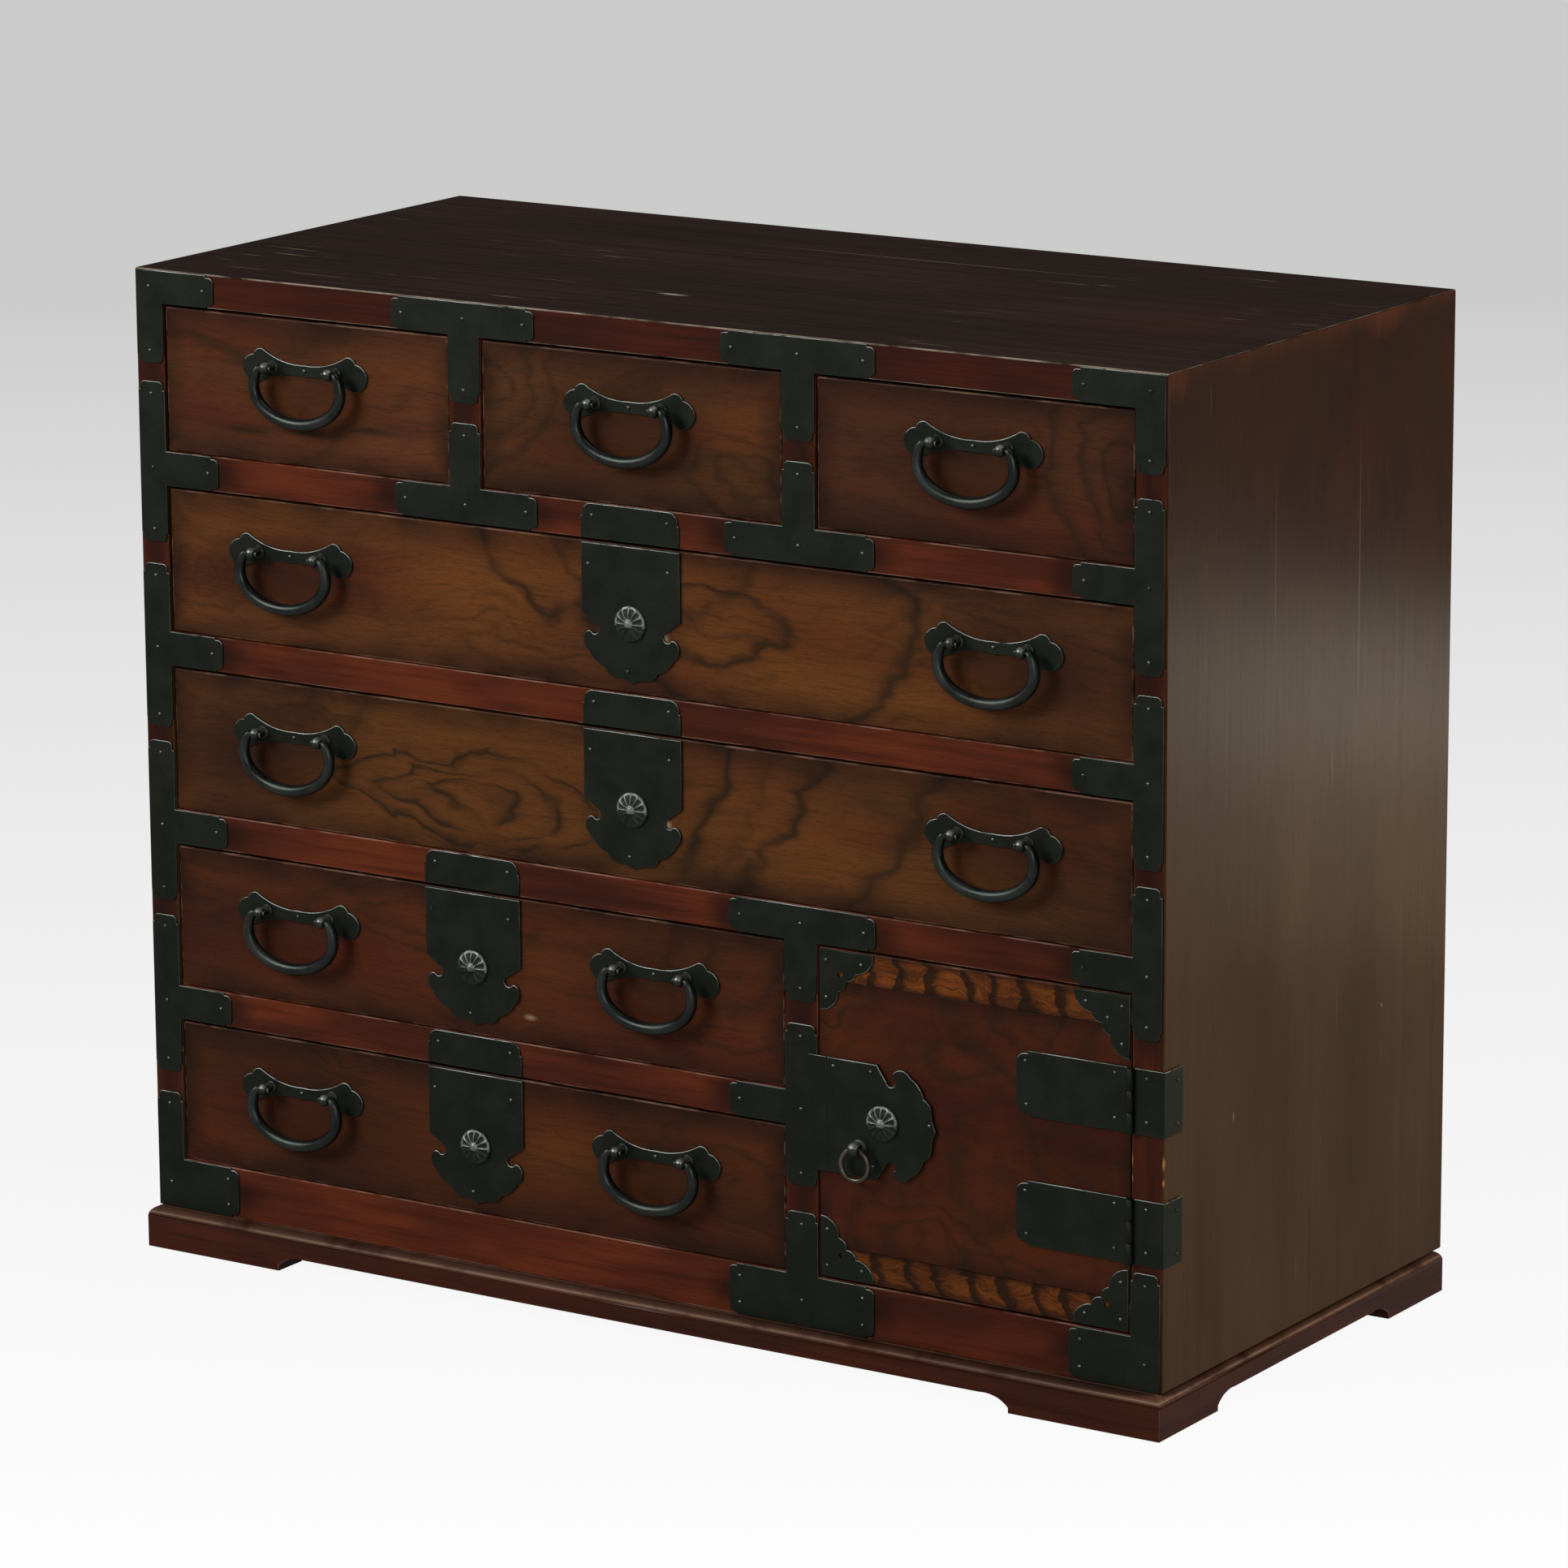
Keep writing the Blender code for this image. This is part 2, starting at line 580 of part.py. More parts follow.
def door_leaf_mesh():
    """Hinge leaf for the door, with the middle knuckle. Its origin is the middle of the pin."""
    knuckle, half = HINGE_KNUCKLE / 2, HINGE_HEIGHT / 2
    near = knuckle + RUNNING_GAP
    far, cut = HINGE_DOOR_REACH, HINGE_CORNER
    outline = [
        (-near, -half), (-near, half), (cut - far, half),
        (-far, half - cut), (-far, cut - half), (cut - far, -half),
    ]
    plate = prism_mesh("leaf", outline, "Y", knuckle - HINGE_PLATE, knuckle)
    reach = knuckle_span(1)
    tab = tab_mesh(-near - HINGE_PLATE, 0, reach)
    barrel = upright_bar("barrel", knuckle, reach)
    bore = upright_bar("bore", HINGE_PIN / 2 + RUNNING_GAP, (-half, half))
    return combine("door_leaf", plate, [("UNION", tab), ("UNION", barrel), ("DIFFERENCE", bore)], smooth=True)


def case_leaf_mesh(edge):
    """Hinge leaf round the case's corner, with outer knuckles and pin.

    Its origin is the middle of the pin, and edge is the corner's distance from it.
    """
    knuckle, half = HINGE_KNUCKLE / 2, HINGE_HEIGHT / 2
    near = knuckle + RUNNING_GAP
    inner, outer = edge + SEAT_GAP, edge + SEAT_GAP + HINGE_PLATE
    face = knuckle - HINGE_PLATE
    outline = [
        (near, face), (outer, face), (outer, knuckle + HINGE_SIDE_WRAP),
        (inner, knuckle + HINGE_SIDE_WRAP), (inner, knuckle), (near, knuckle),
    ]
    leaf = prism_mesh("leaf", outline, "Z", -half, half)
    steps = [("UNION", upright_bar("pin", HINGE_PIN / 2, (-half + SEAT_GAP, half - SEAT_GAP)))]
    for index in (0, 2):
        reach = knuckle_span(index)
        steps.append(("UNION", tab_mesh(0, near + HINGE_PLATE, reach)))
        steps.append(("UNION", upright_bar("barrel", knuckle, reach)))
    return combine("case_leaf", leaf, steps, smooth=True)


def knuckle_span(index):
    """Lower and upper end of one of the three knuckles, with a running gap between them."""
    length = (HINGE_HEIGHT - 2 * RUNNING_GAP) / 3
    low = -HINGE_HEIGHT / 2 + index * (length + RUNNING_GAP)
    return low, low + length


def tab_mesh(start, end, reach):
    """Strip that joins a knuckle to its leaf, a little inside both."""
    back = HINGE_KNUCKLE / 2 - TAB_INSET
    front = HINGE_KNUCKLE / 2 - HINGE_PLATE + TAB_INSET
    return box_mesh("tab", (start, front, reach[0] + TAB_INSET), (end, back, reach[1] - TAB_INSET))


def upright_bar(name, radius, reach):
    """Round bar on the hinge's axis."""
    return sweep_mesh(name, [(0, 0, reach[0]), (0, 0, reach[1])], [radius] * 2, POST_SIDES, (0, 1, 0))


def door_lock_mesh():
    """Lock plate turned on its side, with a lip over the divider, a boss and the ring's staple.

    Its origin is on the door's face, at the middle of the lip's edge. The lobes point to +X.
    """
    turned = [(-v, u) for u, v in lock_outline(DOOR_LOCK_STRAIGHT)]
    plate = prism_mesh("door_lock", turned, "Y", -SEAT_GAP - DOOR_LOCK_PLATE, -SEAT_GAP)
    half = LOCK_WIDTH
    lip_end = DOOR_LIP_LAP + DOOR_GAP
    relief = box_mesh("relief", (-lip_end, -DOOR_LIP_CLEAR, -half), (lip_end, DOOR_LIP_CLEAR, half))
    boss_x = DOOR_LOCK_STRAIGHT + LOCK_LOBE - ROSETTE_FROM_TIP
    boss = boss_mesh(0, -SEAT_GAP - DOOR_LOCK_PLATE)
    boss.transform(Matrix.Translation((boss_x, 0, 0)))
    staple = post_mesh(0, RING_AXIS_OUT - SEAT_GAP - DOOR_LOCK_PLATE / 2, STAPLE_NECK / 2, STAPLE_HEAD / 2)
    eye = cross_bore_mesh(0, ring_eye_radius(), STAPLE_HEAD)
    for mesh in (staple, eye):
        mesh.transform(Matrix.Translation((STAPLE_FROM_EDGE, -RING_AXIS_OUT, -STAPLE_BELOW_CENTRE)))
    steps = [("DIFFERENCE", relief), ("UNION", boss), ("UNION", staple), ("DIFFERENCE", eye)]
    return combine("door_lock", plate, steps, smooth=True)


def ring_eye_radius():
    """Bore of the staple that clears the ring's curved rod."""
    curve = (RING_WIDTH - RING_ROD) / 2
    sag = curve - math.sqrt(curve ** 2 - (STAPLE_HEAD / 2) ** 2)
    return RING_ROD / 2 + sag + RUNNING_GAP


def ring_mesh():
    """Round ring hanging from its top."""
    curve = (RING_WIDTH - RING_ROD) / 2
    angles = [2 * math.pi * k / RING_STEPS for k in range(RING_STEPS)]
    path = [(curve * math.sin(a), 0, curve * (math.cos(a) - 1)) for a in angles]
    return sweep_mesh("ring", path, [RING_ROD / 2] * RING_STEPS, ROD_SIDES, (0, 1, 0), closed=True)


def build_door(chest):
    """Door on two wrap-round hinges, with its lock plate and ring pull."""
    opening_left = DIVIDER_X + DIVIDER_WIDTH / 2
    low = row_floor("left_lower") + DOOR_GAP
    high = row_floor("lower_wide") - RAIL_HEIGHT - DOOR_GAP
    middle = (low + high) / 2
    axis_out = HINGE_KNUCKLE / 2 + SEAT_GAP
    axis = Vector((INNER_HALF, FRONT_Y - axis_out, middle))
    door = place_empty("door_swing", axis, chest)
    left = opening_left + DOOR_GAP - axis.x
    panel = box_mesh("door_panel", (left, 0, low - middle), (-DOOR_HINGE_GAP, DOOR_BOARD, high - middle))
    place("door_panel", panel, FIGURED_WOOD, (0, axis_out, 0), door)
    lip_edge = opening_left - DOOR_LIP_LAP - axis.x
    place("door_lock_plate", door_lock_mesh(), IRON, (lip_edge, axis_out, 0), door)
    ring_place = (lip_edge + STAPLE_FROM_EDGE, axis_out - RING_AXIS_OUT, -STAPLE_BELOW_CENTRE)
    place("door_ring", ring_mesh(), IRON, ring_place, door)
    door_leaf = door_leaf_mesh()
    case_leaf = case_leaf_mesh(CASE_WIDTH / 2 - axis.x)
    for name, z in (("upper", HINGE_SPACING / 2), ("lower", -HINGE_SPACING / 2)):
        place(name + "_hinge_door_leaf", door_leaf, IRON, (0, 0, z), door)
        place(name + "_hinge_case_leaf", case_leaf, IRON, axis + Vector((0, 0, z)), chest)


def main():
    """Build the whole chest in an empty scene."""
    for old in list(bpy.data.objects):
        bpy.data.objects.remove(old)
    chest = place_empty("chest", (0, 0, 0))
    build_plinth(chest)
    build_shell(chest)
    build_inside(chest)
    build_drawers(chest)
    build_door(chest)


main()
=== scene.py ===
"""Looks of a low drawer chest with a small side door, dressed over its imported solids.

Metres, +Z up, the front towards -Y, in the frame of the solids. A class that says so holds its sizes in
millimetres, and mm() turns them into metres.
"""

import functools
import json
import logging
import math
from collections.abc import Callable, Iterable, Sequence
from dataclasses import dataclass, replace
from enum import Enum
from typing import Protocol

import bmesh
import bpy
from bmesh.types import BMEdge, BMesh, BMFace, BMVert
from bpy.types import ID, Material, Mesh, Node, NodeSocket, NodeTree, Object
from mathutils import Matrix, Vector


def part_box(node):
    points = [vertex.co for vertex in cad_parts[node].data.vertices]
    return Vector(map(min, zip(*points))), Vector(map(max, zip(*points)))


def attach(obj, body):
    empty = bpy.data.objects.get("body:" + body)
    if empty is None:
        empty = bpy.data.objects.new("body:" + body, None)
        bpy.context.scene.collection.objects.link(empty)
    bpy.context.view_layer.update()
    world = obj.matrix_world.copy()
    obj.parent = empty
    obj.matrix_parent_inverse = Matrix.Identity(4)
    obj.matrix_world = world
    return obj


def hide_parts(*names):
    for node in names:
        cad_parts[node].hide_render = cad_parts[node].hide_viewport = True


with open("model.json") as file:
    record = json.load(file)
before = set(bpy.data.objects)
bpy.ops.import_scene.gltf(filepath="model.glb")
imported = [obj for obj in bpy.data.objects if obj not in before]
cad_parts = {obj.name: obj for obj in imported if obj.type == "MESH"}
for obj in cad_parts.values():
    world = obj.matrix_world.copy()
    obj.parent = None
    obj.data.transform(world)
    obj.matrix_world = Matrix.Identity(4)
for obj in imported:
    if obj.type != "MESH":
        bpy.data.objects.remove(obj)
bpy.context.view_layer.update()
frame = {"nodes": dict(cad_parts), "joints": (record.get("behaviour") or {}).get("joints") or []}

LOG = logging.getLogger("chest")

# Layers that the finishes read: arris wear with painted highlights, and nearness to a board's rim, for dirt
# and painted shade
WEAR_AND_HIGHLIGHT = "worn"
RIM = "rim"

# Tolerances of the mesh bench
MERGE = 1e-6
MERGE_OUTLINE = 1e-5
FLAT_ANGLE = math.radians(1.0)
ARC_STEPS = 8

# Gap behind a plate that replaces a solid, and behind a bare plate or between boards, in metres
SEAT = 0.0003
SKIN = 0.00005

# Bulge of a quarter circle, as arc height over half chord
QUARTER = math.tan(math.radians(22.5))

# How far a step of the seed moves a cloud, and a cloud that pushes places about
SEED_STEPS = (1.0, 1.7, 2.3)
PUSH_STEPS = (1.0, 1.3, 0.7)

# Values of a pattern between which the roughness rises
GLOSS_FROM = 0.3
GLOSS_TO = 0.7

# Sockets of a Mix node that blends colours
MIX_FACTOR = 0
MIX_UNDER = 6
MIX_OVER = 7
MIX_COLOUR = 2

# No turn and no shift
HERE = Matrix.Identity(4)

# Pairs of numbers: points of an outline or a profile, or places of nails
Pairs = Sequence[tuple[float, float]]


def mm(size: float) -> float:
    """Metres of a size in millimetres."""
    return size / 1000.0


def linear(hex_colour: str) -> tuple[float, float, float, float]:
    """Linear colour, with alpha, of an sRGB hex value."""
    channels = [int(hex_colour[i:i + 2], 16) / 255 for i in (0, 2, 4)]
    red, green, blue = [c / 12.92 if c <= 0.04045 else ((c + 0.055) / 1.055) ** 2.4 for c in channels]
    return red, green, blue, 1.0


# Finishes


class Grain(Enum):
    """Direction in which a board's fibres run."""

    ACROSS = 0
    DEEP = 1
    UPRIGHT = 2

    def cell(self, along: float, over: float) -> tuple[float, float, float]:
        """Size in mm of one cell of a pattern that is long with the grain and short over it."""
        sizes = [over, over, over]
        sizes[self.value] = along
        return tuple(sizes)


class Plane(Enum):
    """Face that a spot lies on, by the axes of its two directions."""

    FRONT = (0, 2)
    SIDE = (1, 2)
    TOP = (0, 1)


@dataclass(frozen=True)
class Spot:
    """Soft oval on a face, in mm from a middle; z is Y on a top, and x is Y on a side."""

    x: float
    z: float
    half_width: float
    half_height: float
    weight: float = 1.0
    turns: int = 1


Spots = tuple[Spot, ...]


@dataclass(frozen=True)
class Surface:
    """How a finish meets the light: roughness, its spread, relief in mm, specular level, share of metal."""

    roughness: float
    spread: float
    relief: float
    specular: float
    metallic: float = 0.0


class Finish(Protocol):
    """What a piece can be dressed in."""

    def mix(self) -> Material:
        """Lay out the material."""


class Nodes:
    """A node tree while its nodes are laid out."""

    def __init__(self, tree: NodeTree) -> None:
        """Start on a tree."""
        self.tree = tree

    def add(self, kind: str, settings: dict | None = None, links: dict | None = None) -> Node:
        """Add one node.

        Args:
            kind: node type, without the ShaderNode in front.
            settings: properties by name and socket values by name or number; stops fill a colour ramp.
            links: sockets by name or number, with the output that feeds each.
        Returns:
            The new node.
        """
        node = self.tree.nodes.new("ShaderNode" + kind)
        for key, value in (settings or {}).items():
            if key == "stops":
                elements = node.color_ramp.elements
                while len(elements) < len(value):
                    elements.new(1.0)
                for element, (place, shade) in zip(elements, value):
                    element.position = place
                    element.color = (shade, shade, shade, 1.0)
            elif isinstance(key, str) and hasattr(node, key):
                setattr(node, key, value)
            else:
                node.inputs[key].default_value = value
        for key, source in (links or {}).items():
            self.tree.links.new(source, node.inputs[key])
        return node


class Swatch(Nodes):
    """A material while its patterns are laid out."""

    def __init__(self, name: str) -> None:
        """Start a material.

        Args:
            name: common name of the real material.
        """
        self.material = bpy.data.materials.new(name)
        self.material.use_nodes = True
        super().__init__(self.material.node_tree)
        self.shader = self.tree.nodes["Principled BSDF"]
        self.coords = self.add("TexCoord").outputs["Object"]

    @functools.cached_property
    def worn(self) -> NodeSocket:
        """Wear and painted highlight of the mesh's faces."""
        return self.add("Attribute", {"attribute_name": WEAR_AND_HIGHLIGHT}).outputs["Fac"]

    @functools.cached_property
    def rim(self) -> NodeSocket:
        """Nearness to a board's rim."""
        return self.add("Attribute", {"attribute_name": RIM}).outputs["Fac"]

    def mottle(
        self, cell: Sequence[float], detail: float = 2.0, seed: float = 0.0, coords: NodeSocket | None = None
    ) -> NodeSocket:
        """Cloudy pattern.

        Args:
            cell: size of one cloud in mm along X, Y and Z.
            detail: octaves of finer cloud.
            seed: moves the pattern.
            coords: place to read it at, or the piece's own.
        Returns:
            Socket of values about one half.
        """
        layout = {"Scale": [1 / mm(size) for size in cell], "Location": [seed * step for step in SEED_STEPS]}
        place = self.add("Mapping", layout, {"Vector": coords or self.coords})
        cloud = {"Scale": 1.0, "Detail": detail, "Roughness": 0.55}
        return self.add("TexNoise", cloud, {"Vector": place.outputs[0]}).outputs[0]

    def warp(self, cell: Sequence[float], reach: float, seed: float, coords: NodeSocket) -> NodeSocket:
        """Places pushed about by a cloudy pattern.

        Args:
            cell: size of one cloud in mm.
            reach: how far a place moves, in mm.
            seed: moves the pattern.
            coords: places to push.
        Returns:
            Socket of the pushed places.
        """
        layout = {"Scale": [1 / mm(size) for size in cell], "Location": [seed * step for step in PUSH_STEPS]}
        place = self.add("Mapping", layout, {"Vector": coords})
        noise = self.add("TexNoise", {"Scale": 1.0, "Detail": 2.0}, {"Vector": place.outputs[0]})
        centred = {"operation": "SUBTRACT", 1: (0.5, 0.5, 0.5)}
        either_way = self.add("VectorMath", centred, {0: noise.outputs["Color"]})
        push = {"operation": "MULTIPLY_ADD", 1: (mm(reach), 0.0, mm(reach))}
        return self.add("VectorMath", push, {0: either_way.outputs[0], 2: coords}).outputs[0]

    def reach(self, spot: Spot, middle: Vector, coords: NodeSocket, plane: Plane = Plane.FRONT) -> NodeSocket:
        """Distance from an oval's middle.

        Args:
            spot: the oval.
            middle: point that its place counts from.
            coords: places to read it at.
            plane: face that it lies on.
        Returns:
            Socket that is nothing in the oval's middle, one at its rim and two at twice its size.
        """
        scale, shift = [0.0, 0.0, 0.0], [0.0, 0.0, 0.0]
        for axis, place, half in zip(plane.value, (spot.x, spot.z), (spot.half_width, spot.half_height)):
            scale[axis] = 1 / mm(half)
            shift[axis] = -(middle[axis] + mm(place)) * scale[axis]
        place = self.add("Mapping", {"Scale": scale, "Location": shift}, {"Vector": coords})
        return self.add("VectorMath", {"operation": "LENGTH"}, {0: place.outputs[0]}).outputs["Value"]

    def oval(self, spot: Spot, middle: Vector, coords: NodeSocket, plane: Plane = Plane.FRONT) -> NodeSocket:
        """Share of a soft oval: the spot's weight in its middle, nothing at its rim."""
        fall = {"interpolation_type": "SMOOTHSTEP", "To Min": spot.weight, "To Max": 0.0}
        return self.add("MapRange", fall, {"Value": self.reach(spot, middle, coords, plane)}).outputs[0]

    def share(
        self, source: NodeSocket, low: float, high: float, most: float = 1.0, within: NodeSocket | None = None
    ) -> NodeSocket:
        """Share of a coat where a pattern runs from low to high.

        Args:
            source: the pattern.
            low: value at which the coat starts.
            high: value at which it is full.
            most: share of the full coat.
            within: another share that this one keeps within.
        Returns:
            Socket of the share.
        """
        settings = {"From Min": low, "From Max": high, "To Max": most}
        share = self.add("MapRange", settings, {"Value": source}).outputs[0]
        if within is None:
            return share
        return self.add("Math", {"operation": "MULTIPLY"}, {0: within, 1: share}).outputs[0]

    def coats(self, ground: str, coats: Iterable[tuple[NodeSocket, str]]) -> NodeSocket:
        """Colour made of coats, each laid over the last by its share.

        Args:
            ground: hex colour under all coats.
            coats: share and hex colour of each coat.
        Returns:
            Socket of the finished colour.
        """
        colour = None
        for share, over in coats:
            settings = {"data_type": "RGBA", MIX_UNDER: linear(ground), MIX_OVER: linear(over)}
            links = {MIX_FACTOR: share}
            if colour is not None:
                links[MIX_UNDER] = colour
            colour = self.add("Mix", settings, links).outputs[MIX_COLOUR]
        return colour

    def finish(self, colour: NodeSocket, gloss: NodeSocket, relief: NodeSocket, surface: Surface) -> Material:
        """Join the patterns to the shader.

        Args:
            colour: base colour.
            gloss: pattern that the roughness follows.
            relief: height pattern for the bump.
            surface: the values that go with them.
        Returns:
            The finished material.
        """
        rise = {
            "From Min": GLOSS_FROM, "From Max": GLOSS_TO,
            "To Min": surface.roughness, "To Max": surface.roughness + surface.spread,
        }
        roughness = self.add("MapRange", rise, {"Value": gloss})
        bump = self.add("Bump", {"Strength": 1.0, "Distance": mm(surface.relief)}, {"Height": relief})
        self.tree.links.new(colour, self.shader.inputs["Base Color"])
        self.tree.links.new(roughness.outputs[0], self.shader.inputs["Roughness"])
        self.tree.links.new(bump.outputs[0], self.shader.inputs["Normal"])
        self.shader.inputs["Specular IOR Level"].default_value = surface.specular
        self.shader.inputs["Metallic"].default_value = surface.metallic
        return self.material


@dataclass(frozen=True)
class Figure:
    """The wood's figure on one front: latewood rings, dark stains, pale smudges and tones."""

    rings: Spots
    seed: float
    stains: Spots = ()
    smudges: Spots = ()
    # Lighter and darker patches, mostly lighter in the middle and darker at the ends: wood tone with painted
    # light and shade
    lights: Spots = ()
    darks: Spots = ()
    ground: str = "55311a"
    glow: str = "74441e"


# A latewood line over its width, soft inside and sharp outside
LATEWOOD_STOPS = [
    (0.0, 0.0), (0.14, 0.1), (0.32, 0.36), (0.44, 0.82), (0.52, 1.0), (0.6, 0.55), (0.68, 0.15), (0.8, 0.0),
]

# One dark stripe of a batten and the gap after it
STRIPE_STOPS = [(0.0, 0.95), (0.19, 0.9), (0.32, 0.32), (0.52, 0.0), (0.94, 0.0), (1.0, 0.95)]


@dataclass(frozen=True)
class FiguredZelkova:
    """Oiled zelkova cut through its growth rings.

    The eye sees dark ragged latewood lines, sharp outside and soft inside, round brighter wood, over
    orange-brown with fine pores, with lighter and darker patches of wood tone and painted light and shade,
    darkened at the rim and round the iron by handling dirt and painted shade.
    """

    name: str
    middle_x: float
    middle_z: float
    figure: Figure
    halos: Spots
    glows: Spots = ()
    red: str = "542412"
    light: str = "7f4a20"
    dark: str = "351b11"
    line: str = "251b10"
    shade: str = "1c0f0a"
    blush: str = "4e2812"
    smudge: str = "a08a68"
    rubbed_and_lit: str = "8d6650"
    flow_cell: tuple[float, float, float] = (300, 300, 46)
    flow_lines: float = 8.0
    fibre_cell: tuple[float, float, float] = (60, 20, 2.2)
    line_width: float = 19.0
    surface: Surface = Surface(0.34, 0.2, 0.12, 0.12)

    def mix(self) -> Material:
        """Lay out the material.

        Returns:
            The material.
        """
        s = Swatch(self.name)
        figure, seed = self.figure, self.figure.seed
        middle = Vector((self.middle_x, 0.0, self.middle_z))
        loose = s.warp((170, 170, 70), 40, seed, s.coords)
        lobed = s.warp((62, 62, 34), 40, seed + 8, loose)
        zigzag = s.warp((27, 27, 14), 15, seed + 6, lobed)
        wavy = s.warp((9, 9, 5), 3.5, seed + 5, zigzag)
        streaky = s.warp((40, 40, 10), 8, seed + 7, s.coords)
        fibre = s.mottle(self.fibre_cell, 3.0, seed + 1, loose)
        pores = s.mottle((7, 4, 0.9), 2.0, seed + 4)
        cloud = s.mottle((210, 210, 60), 2.0, seed + 9)
        redder = s.mottle((260, 260, 60), 1.0, seed + 11)
        reaches = [(spot, s.reach(spot, middle, wavy)) for spot in figure.rings]
        halos = [s.oval(spot, middle, wavy) for spot in self.halos]
        # Handling dirt with painted shade, darker towards the board's rim.
        grime_and_shade = s.share(s.mottle((60, 60, 40), 2.0, seed + 3), 0.1, 0.6, within=s.rim)
        bare = s.share(s.mottle((30, 12, 12), 3.0, seed), 0.48, 0.66, 0.55, within=s.worn)
        coats = [
            (s.share(cloud, 0.34, 0.62), figure.glow),
            (s.share(redder, 0.48, 0.66, 0.7), self.red),
            # Lighter and darker patches: wood tone with painted light and shade.
            *[(s.oval(spot, middle, loose), self.light) for spot in figure.lights],
            *[(s.share(reach, 1.0, 0.6, 0.45 * spot.weight), figure.glow) for spot, reach in reaches],
            *[(s.oval(spot, middle, loose), self.dark) for spot in figure.darks],
            (s.share(fibre, 0.48, 0.7, 0.3), self.shade),
            (s.share(pores, 0.5, 0.7, 0.28), self.shade),
            (self.flow(s, wavy), self.line),
            *[(self.ring(s, spot, reach), self.line) for spot, reach in reaches],
            *[(s.oval(spot, middle, streaky), self.line) for spot in figure.stains],
            # Painted shade round the iron, over handling dirt.
            *[(s.share(cloud, 0.1, 0.5, within=halo), self.shade) for halo in halos],
            *[(s.oval(spot, middle, wavy), self.blush) for spot in self.glows],
            (s.share(grime_and_shade, 0.0, 1.0, 0.8), self.shade),
            *[(s.oval(spot, middle, s.coords), self.smudge) for spot in figure.smudges],
            (bare, self.rubbed_and_lit),
        ]
        return s.finish(s.coats(figure.ground, coats), fibre, fibre, self.surface)

    def flow(self, s: Swatch, coords: NodeSocket) -> NodeSocket:
        """Faint latewood lines along the board, broken here and there.

        Args:
            s: the material's nodes.
            coords: places to read them at.
        Returns:
            Socket of the lines' share.
        """
        level = s.mottle(self.flow_cell, 1.0, self.figure.seed + 2, coords)
        count = s.add("Math", {"operation": "MULTIPLY", 1: self.flow_lines}, {0: level}).outputs[0]
        across = s.add("Math", {"operation": "FRACT"}, {0: count}).outputs[0]
        line = s.add("ValToRGB", {"stops": LATEWOOD_STOPS}, {"Fac": across}).outputs[0]
        gaps = s.mottle((110, 110, 40), 2.0, self.figure.seed + 13)
        return s.share(gaps, 0.44, 0.62, 0.4, within=line)

    def ring(self, s: Swatch, spot: Spot, reach: NodeSocket) -> NodeSocket:
        """Latewood lines round one oval, broken here and there.

        Args:
            s: the material's nodes.
            spot: the oval that the outer line follows, and how many lines lie in one another.
            reach: distance from the oval's middle.
        Returns:
            Socket of the lines' share.
        """
        if spot.turns > 1:
            settings = {"operation": "MULTIPLY_ADD", 1: float(spot.turns), 2: 0.5}
            count = s.add("Math", settings, {0: reach}).outputs[0]
            across = s.add("Math", {"operation": "FRACT"}, {0: count}).outputs[0]
        else:
            span = self.line_width / math.sqrt(spot.half_width * spot.half_height)
            across = s.share(reach, 1 - span, 1 + span)
        line = s.add("ValToRGB", {"stops": LATEWOOD_STOPS}, {"Fac": across}).outputs[0]
        if spot.turns > 1:
            line = s.share(reach, 1 + 0.48 / spot.turns, 1 + 0.3 / spot.turns, within=line)
        breaks = s.mottle((90, 90, 40), 2.0, self.figure.seed + spot.x)
        return s.share(breaks, 0.28, 0.46, spot.weight, within=line)


@dataclass(frozen=True)
class TigerBatten:
    """End batten of quarter-sawn zelkova.

    The eye sees short dark slanting stripes over an orange ground, as on a tiger's back.
    """

    name: str = "quartersawn_zelkova"
    stripe: float = 25.0
    slant: float = 22.0
    ground: str = "633413"
    bright: str = "82451a"
    pore: str = "2c140b"
    dark: str = "1c120b"
    shade: str = "1f0f09"
    rubbed_and_lit: str = "8d6650"
    surface: Surface = Surface(0.34, 0.2, 0.12, 0.12)

    def mix(self) -> Material:
        """Lay out the material.

        Returns:
            The material.
        """
        s = Swatch(self.name)
        wavy = s.warp((12, 12, 8), 13, 1.0, s.warp((50, 50, 30), 32, 4.0, s.coords))
        settings = {"Scale": [1 / mm(self.stripe)] * 3, "Rotation": (0.0, math.radians(self.slant), 0.0)}
        place = s.add("Mapping", settings, {"Vector": wavy})
        across = s.add("SeparateXYZ", {}, {0: place.outputs[0]}).outputs["X"]
        phase = s.add("Math", {"operation": "FRACT"}, {0: across}).outputs[0]
        stripe = s.add("ValToRGB", {"stops": STRIPE_STOPS}, {"Fac": phase}).outputs[0]
        fibre = s.mottle((30, 12, 1.6), 3.0, 2.0, wavy)
        cloud = s.mottle((70, 70, 30), 2.0, 8.0)
        coats = [
            (s.share(cloud, 0.35, 0.62), self.bright),
            (s.share(fibre, 0.46, 0.62, 0.6), self.pore),
            (s.share(stripe, 0.0, 1.0, 0.92), self.dark),
            # Painted shade: darker towards the batten's rim.
            (s.share(s.rim, 0.2, 1.0, 0.7), self.shade),
            (s.share(s.mottle((30, 12, 12), 3.0), 0.48, 0.66, 0.5, within=s.worn), self.rubbed_and_lit),
        ]
        return s.finish(s.coats(self.ground, coats), fibre, fibre, self.surface)


